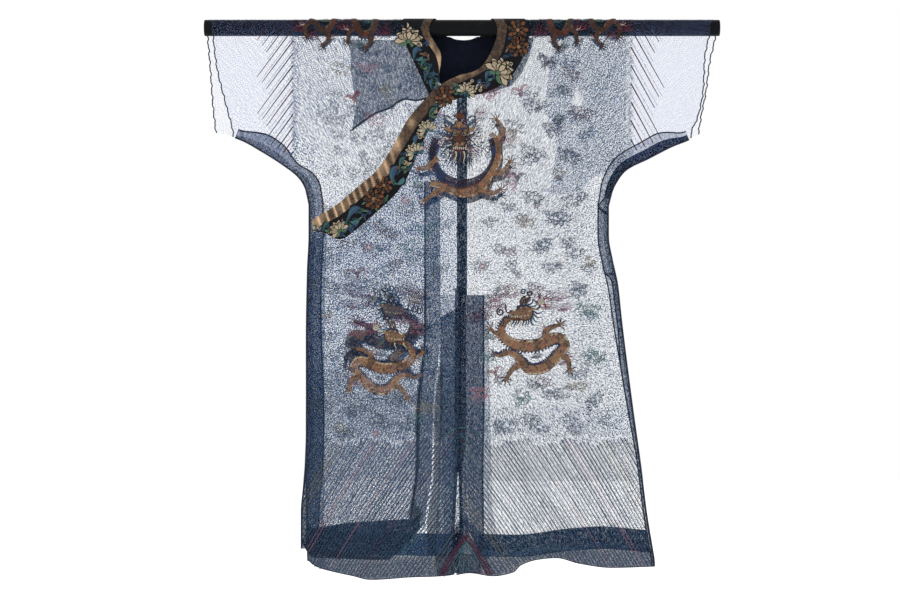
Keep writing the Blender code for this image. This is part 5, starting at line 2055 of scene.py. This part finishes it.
def embroider():
    centre_embroidery()
    for name, face in FACES.items():
        face_embroidery(name, **face)
    collar_embroidery()


# ---------------------------------------------------------------- light, floor and camera
PHOTO_WIDTH = 900
PHOTO_HEIGHT = 600
METRES_PER_PIXEL = 0.00252
ORIGIN_PIXEL = (462.0, 28.0)
CAMERA_DISTANCE = 6.0
SENSOR = 36.0
WHITE = (1.0, 1.0, 1.0, 1.0)
FLOOR_TONE = (0.9, 0.9, 0.9, 1.0)
FLOOR_SIZE = 14.0
FLOOR_PLACE = (0, 1.0, -1.75)
# Soft lamps: name, place, size, power, what they point at
LAMPS = (
    ("key", (-2.2, -3.2, 1.6), 2.4, 9.0, (0, 0, -0.6)),
    ("fill", (2.6, -3.0, 0.4), 2.4, 3.0, (0, 0, -0.7)),
)


def studio():
    world = bpy.data.worlds.new("studio")
    bpy.context.scene.world = world
    world.use_nodes = True
    sky = world.node_tree.nodes["Background"].inputs
    sky["Color"].default_value = WHITE
    sky["Strength"].default_value = 1.0
    g = Graph("white_floor")
    paper = g.node("BsdfPrincipled", {"Base Color": FLOOR_TONE, "Roughness": 0.9, "Emission Color": WHITE,
                                      "Emission Strength": 0.35})
    bpy.ops.mesh.primitive_plane_add(size=FLOOR_SIZE, location=FLOOR_PLACE)
    floor = bpy.context.object
    floor.name = "floor"
    floor.data.materials.append(g.finish(paper.outputs[0]))
    for name, place, size, power, aim in LAMPS:
        light = bpy.data.lights.new(name, "AREA")
        light.size = size
        light.energy = power
        lamp = new_object(name, light)
        lamp.location = place
        lamp.rotation_euler = (Vector(aim) - Vector(place)).to_track_quat("-Z", "Y").to_euler()


def camera():
    data = bpy.data.cameras.new("camera")
    data.sensor_width = SENSOR
    data.lens = SENSOR * CAMERA_DISTANCE / (PHOTO_WIDTH * METRES_PER_PIXEL)
    data.clip_end = 100.0
    eye = new_object("camera", data)
    middle_x = (PHOTO_WIDTH / 2 - ORIGIN_PIXEL[0]) * METRES_PER_PIXEL
    middle_z = (ORIGIN_PIXEL[1] - PHOTO_HEIGHT / 2) * METRES_PER_PIXEL
    eye.location = (middle_x, -CAMERA_DISTANCE, middle_z)
    eye.rotation_euler = (math.pi / 2, 0, 0)
    bpy.context.scene.camera = eye


def render_look():
    scene = bpy.context.scene
    scene.view_settings.view_transform = "Standard"
    scene.cycles.transparent_max_bounces = 48
    scene.cycles.max_bounces = 5
    scene.cycles.diffuse_bounces = 2


def main():
    camera()
    studio()
    render_look()
    rod()
    half_sheet("right_cloth", (RIGHT_FRONT, RIGHT_BACK), "right", "right_half")
    half_sheet("left_cloth", (LEFT_FRONT, LEFT_BACK), "left", "left_half")
    flap_sheet()
    side_facings()
    hem_facings()
    edge_facings()
    vent_turnings()
    side_joins()
    breast_patch()
    flap_facings()
    inner_flap_corner()
    neck_layers()
    centre_seams()
    collar_strips()
    rolled_edges()
    embroider()


main()
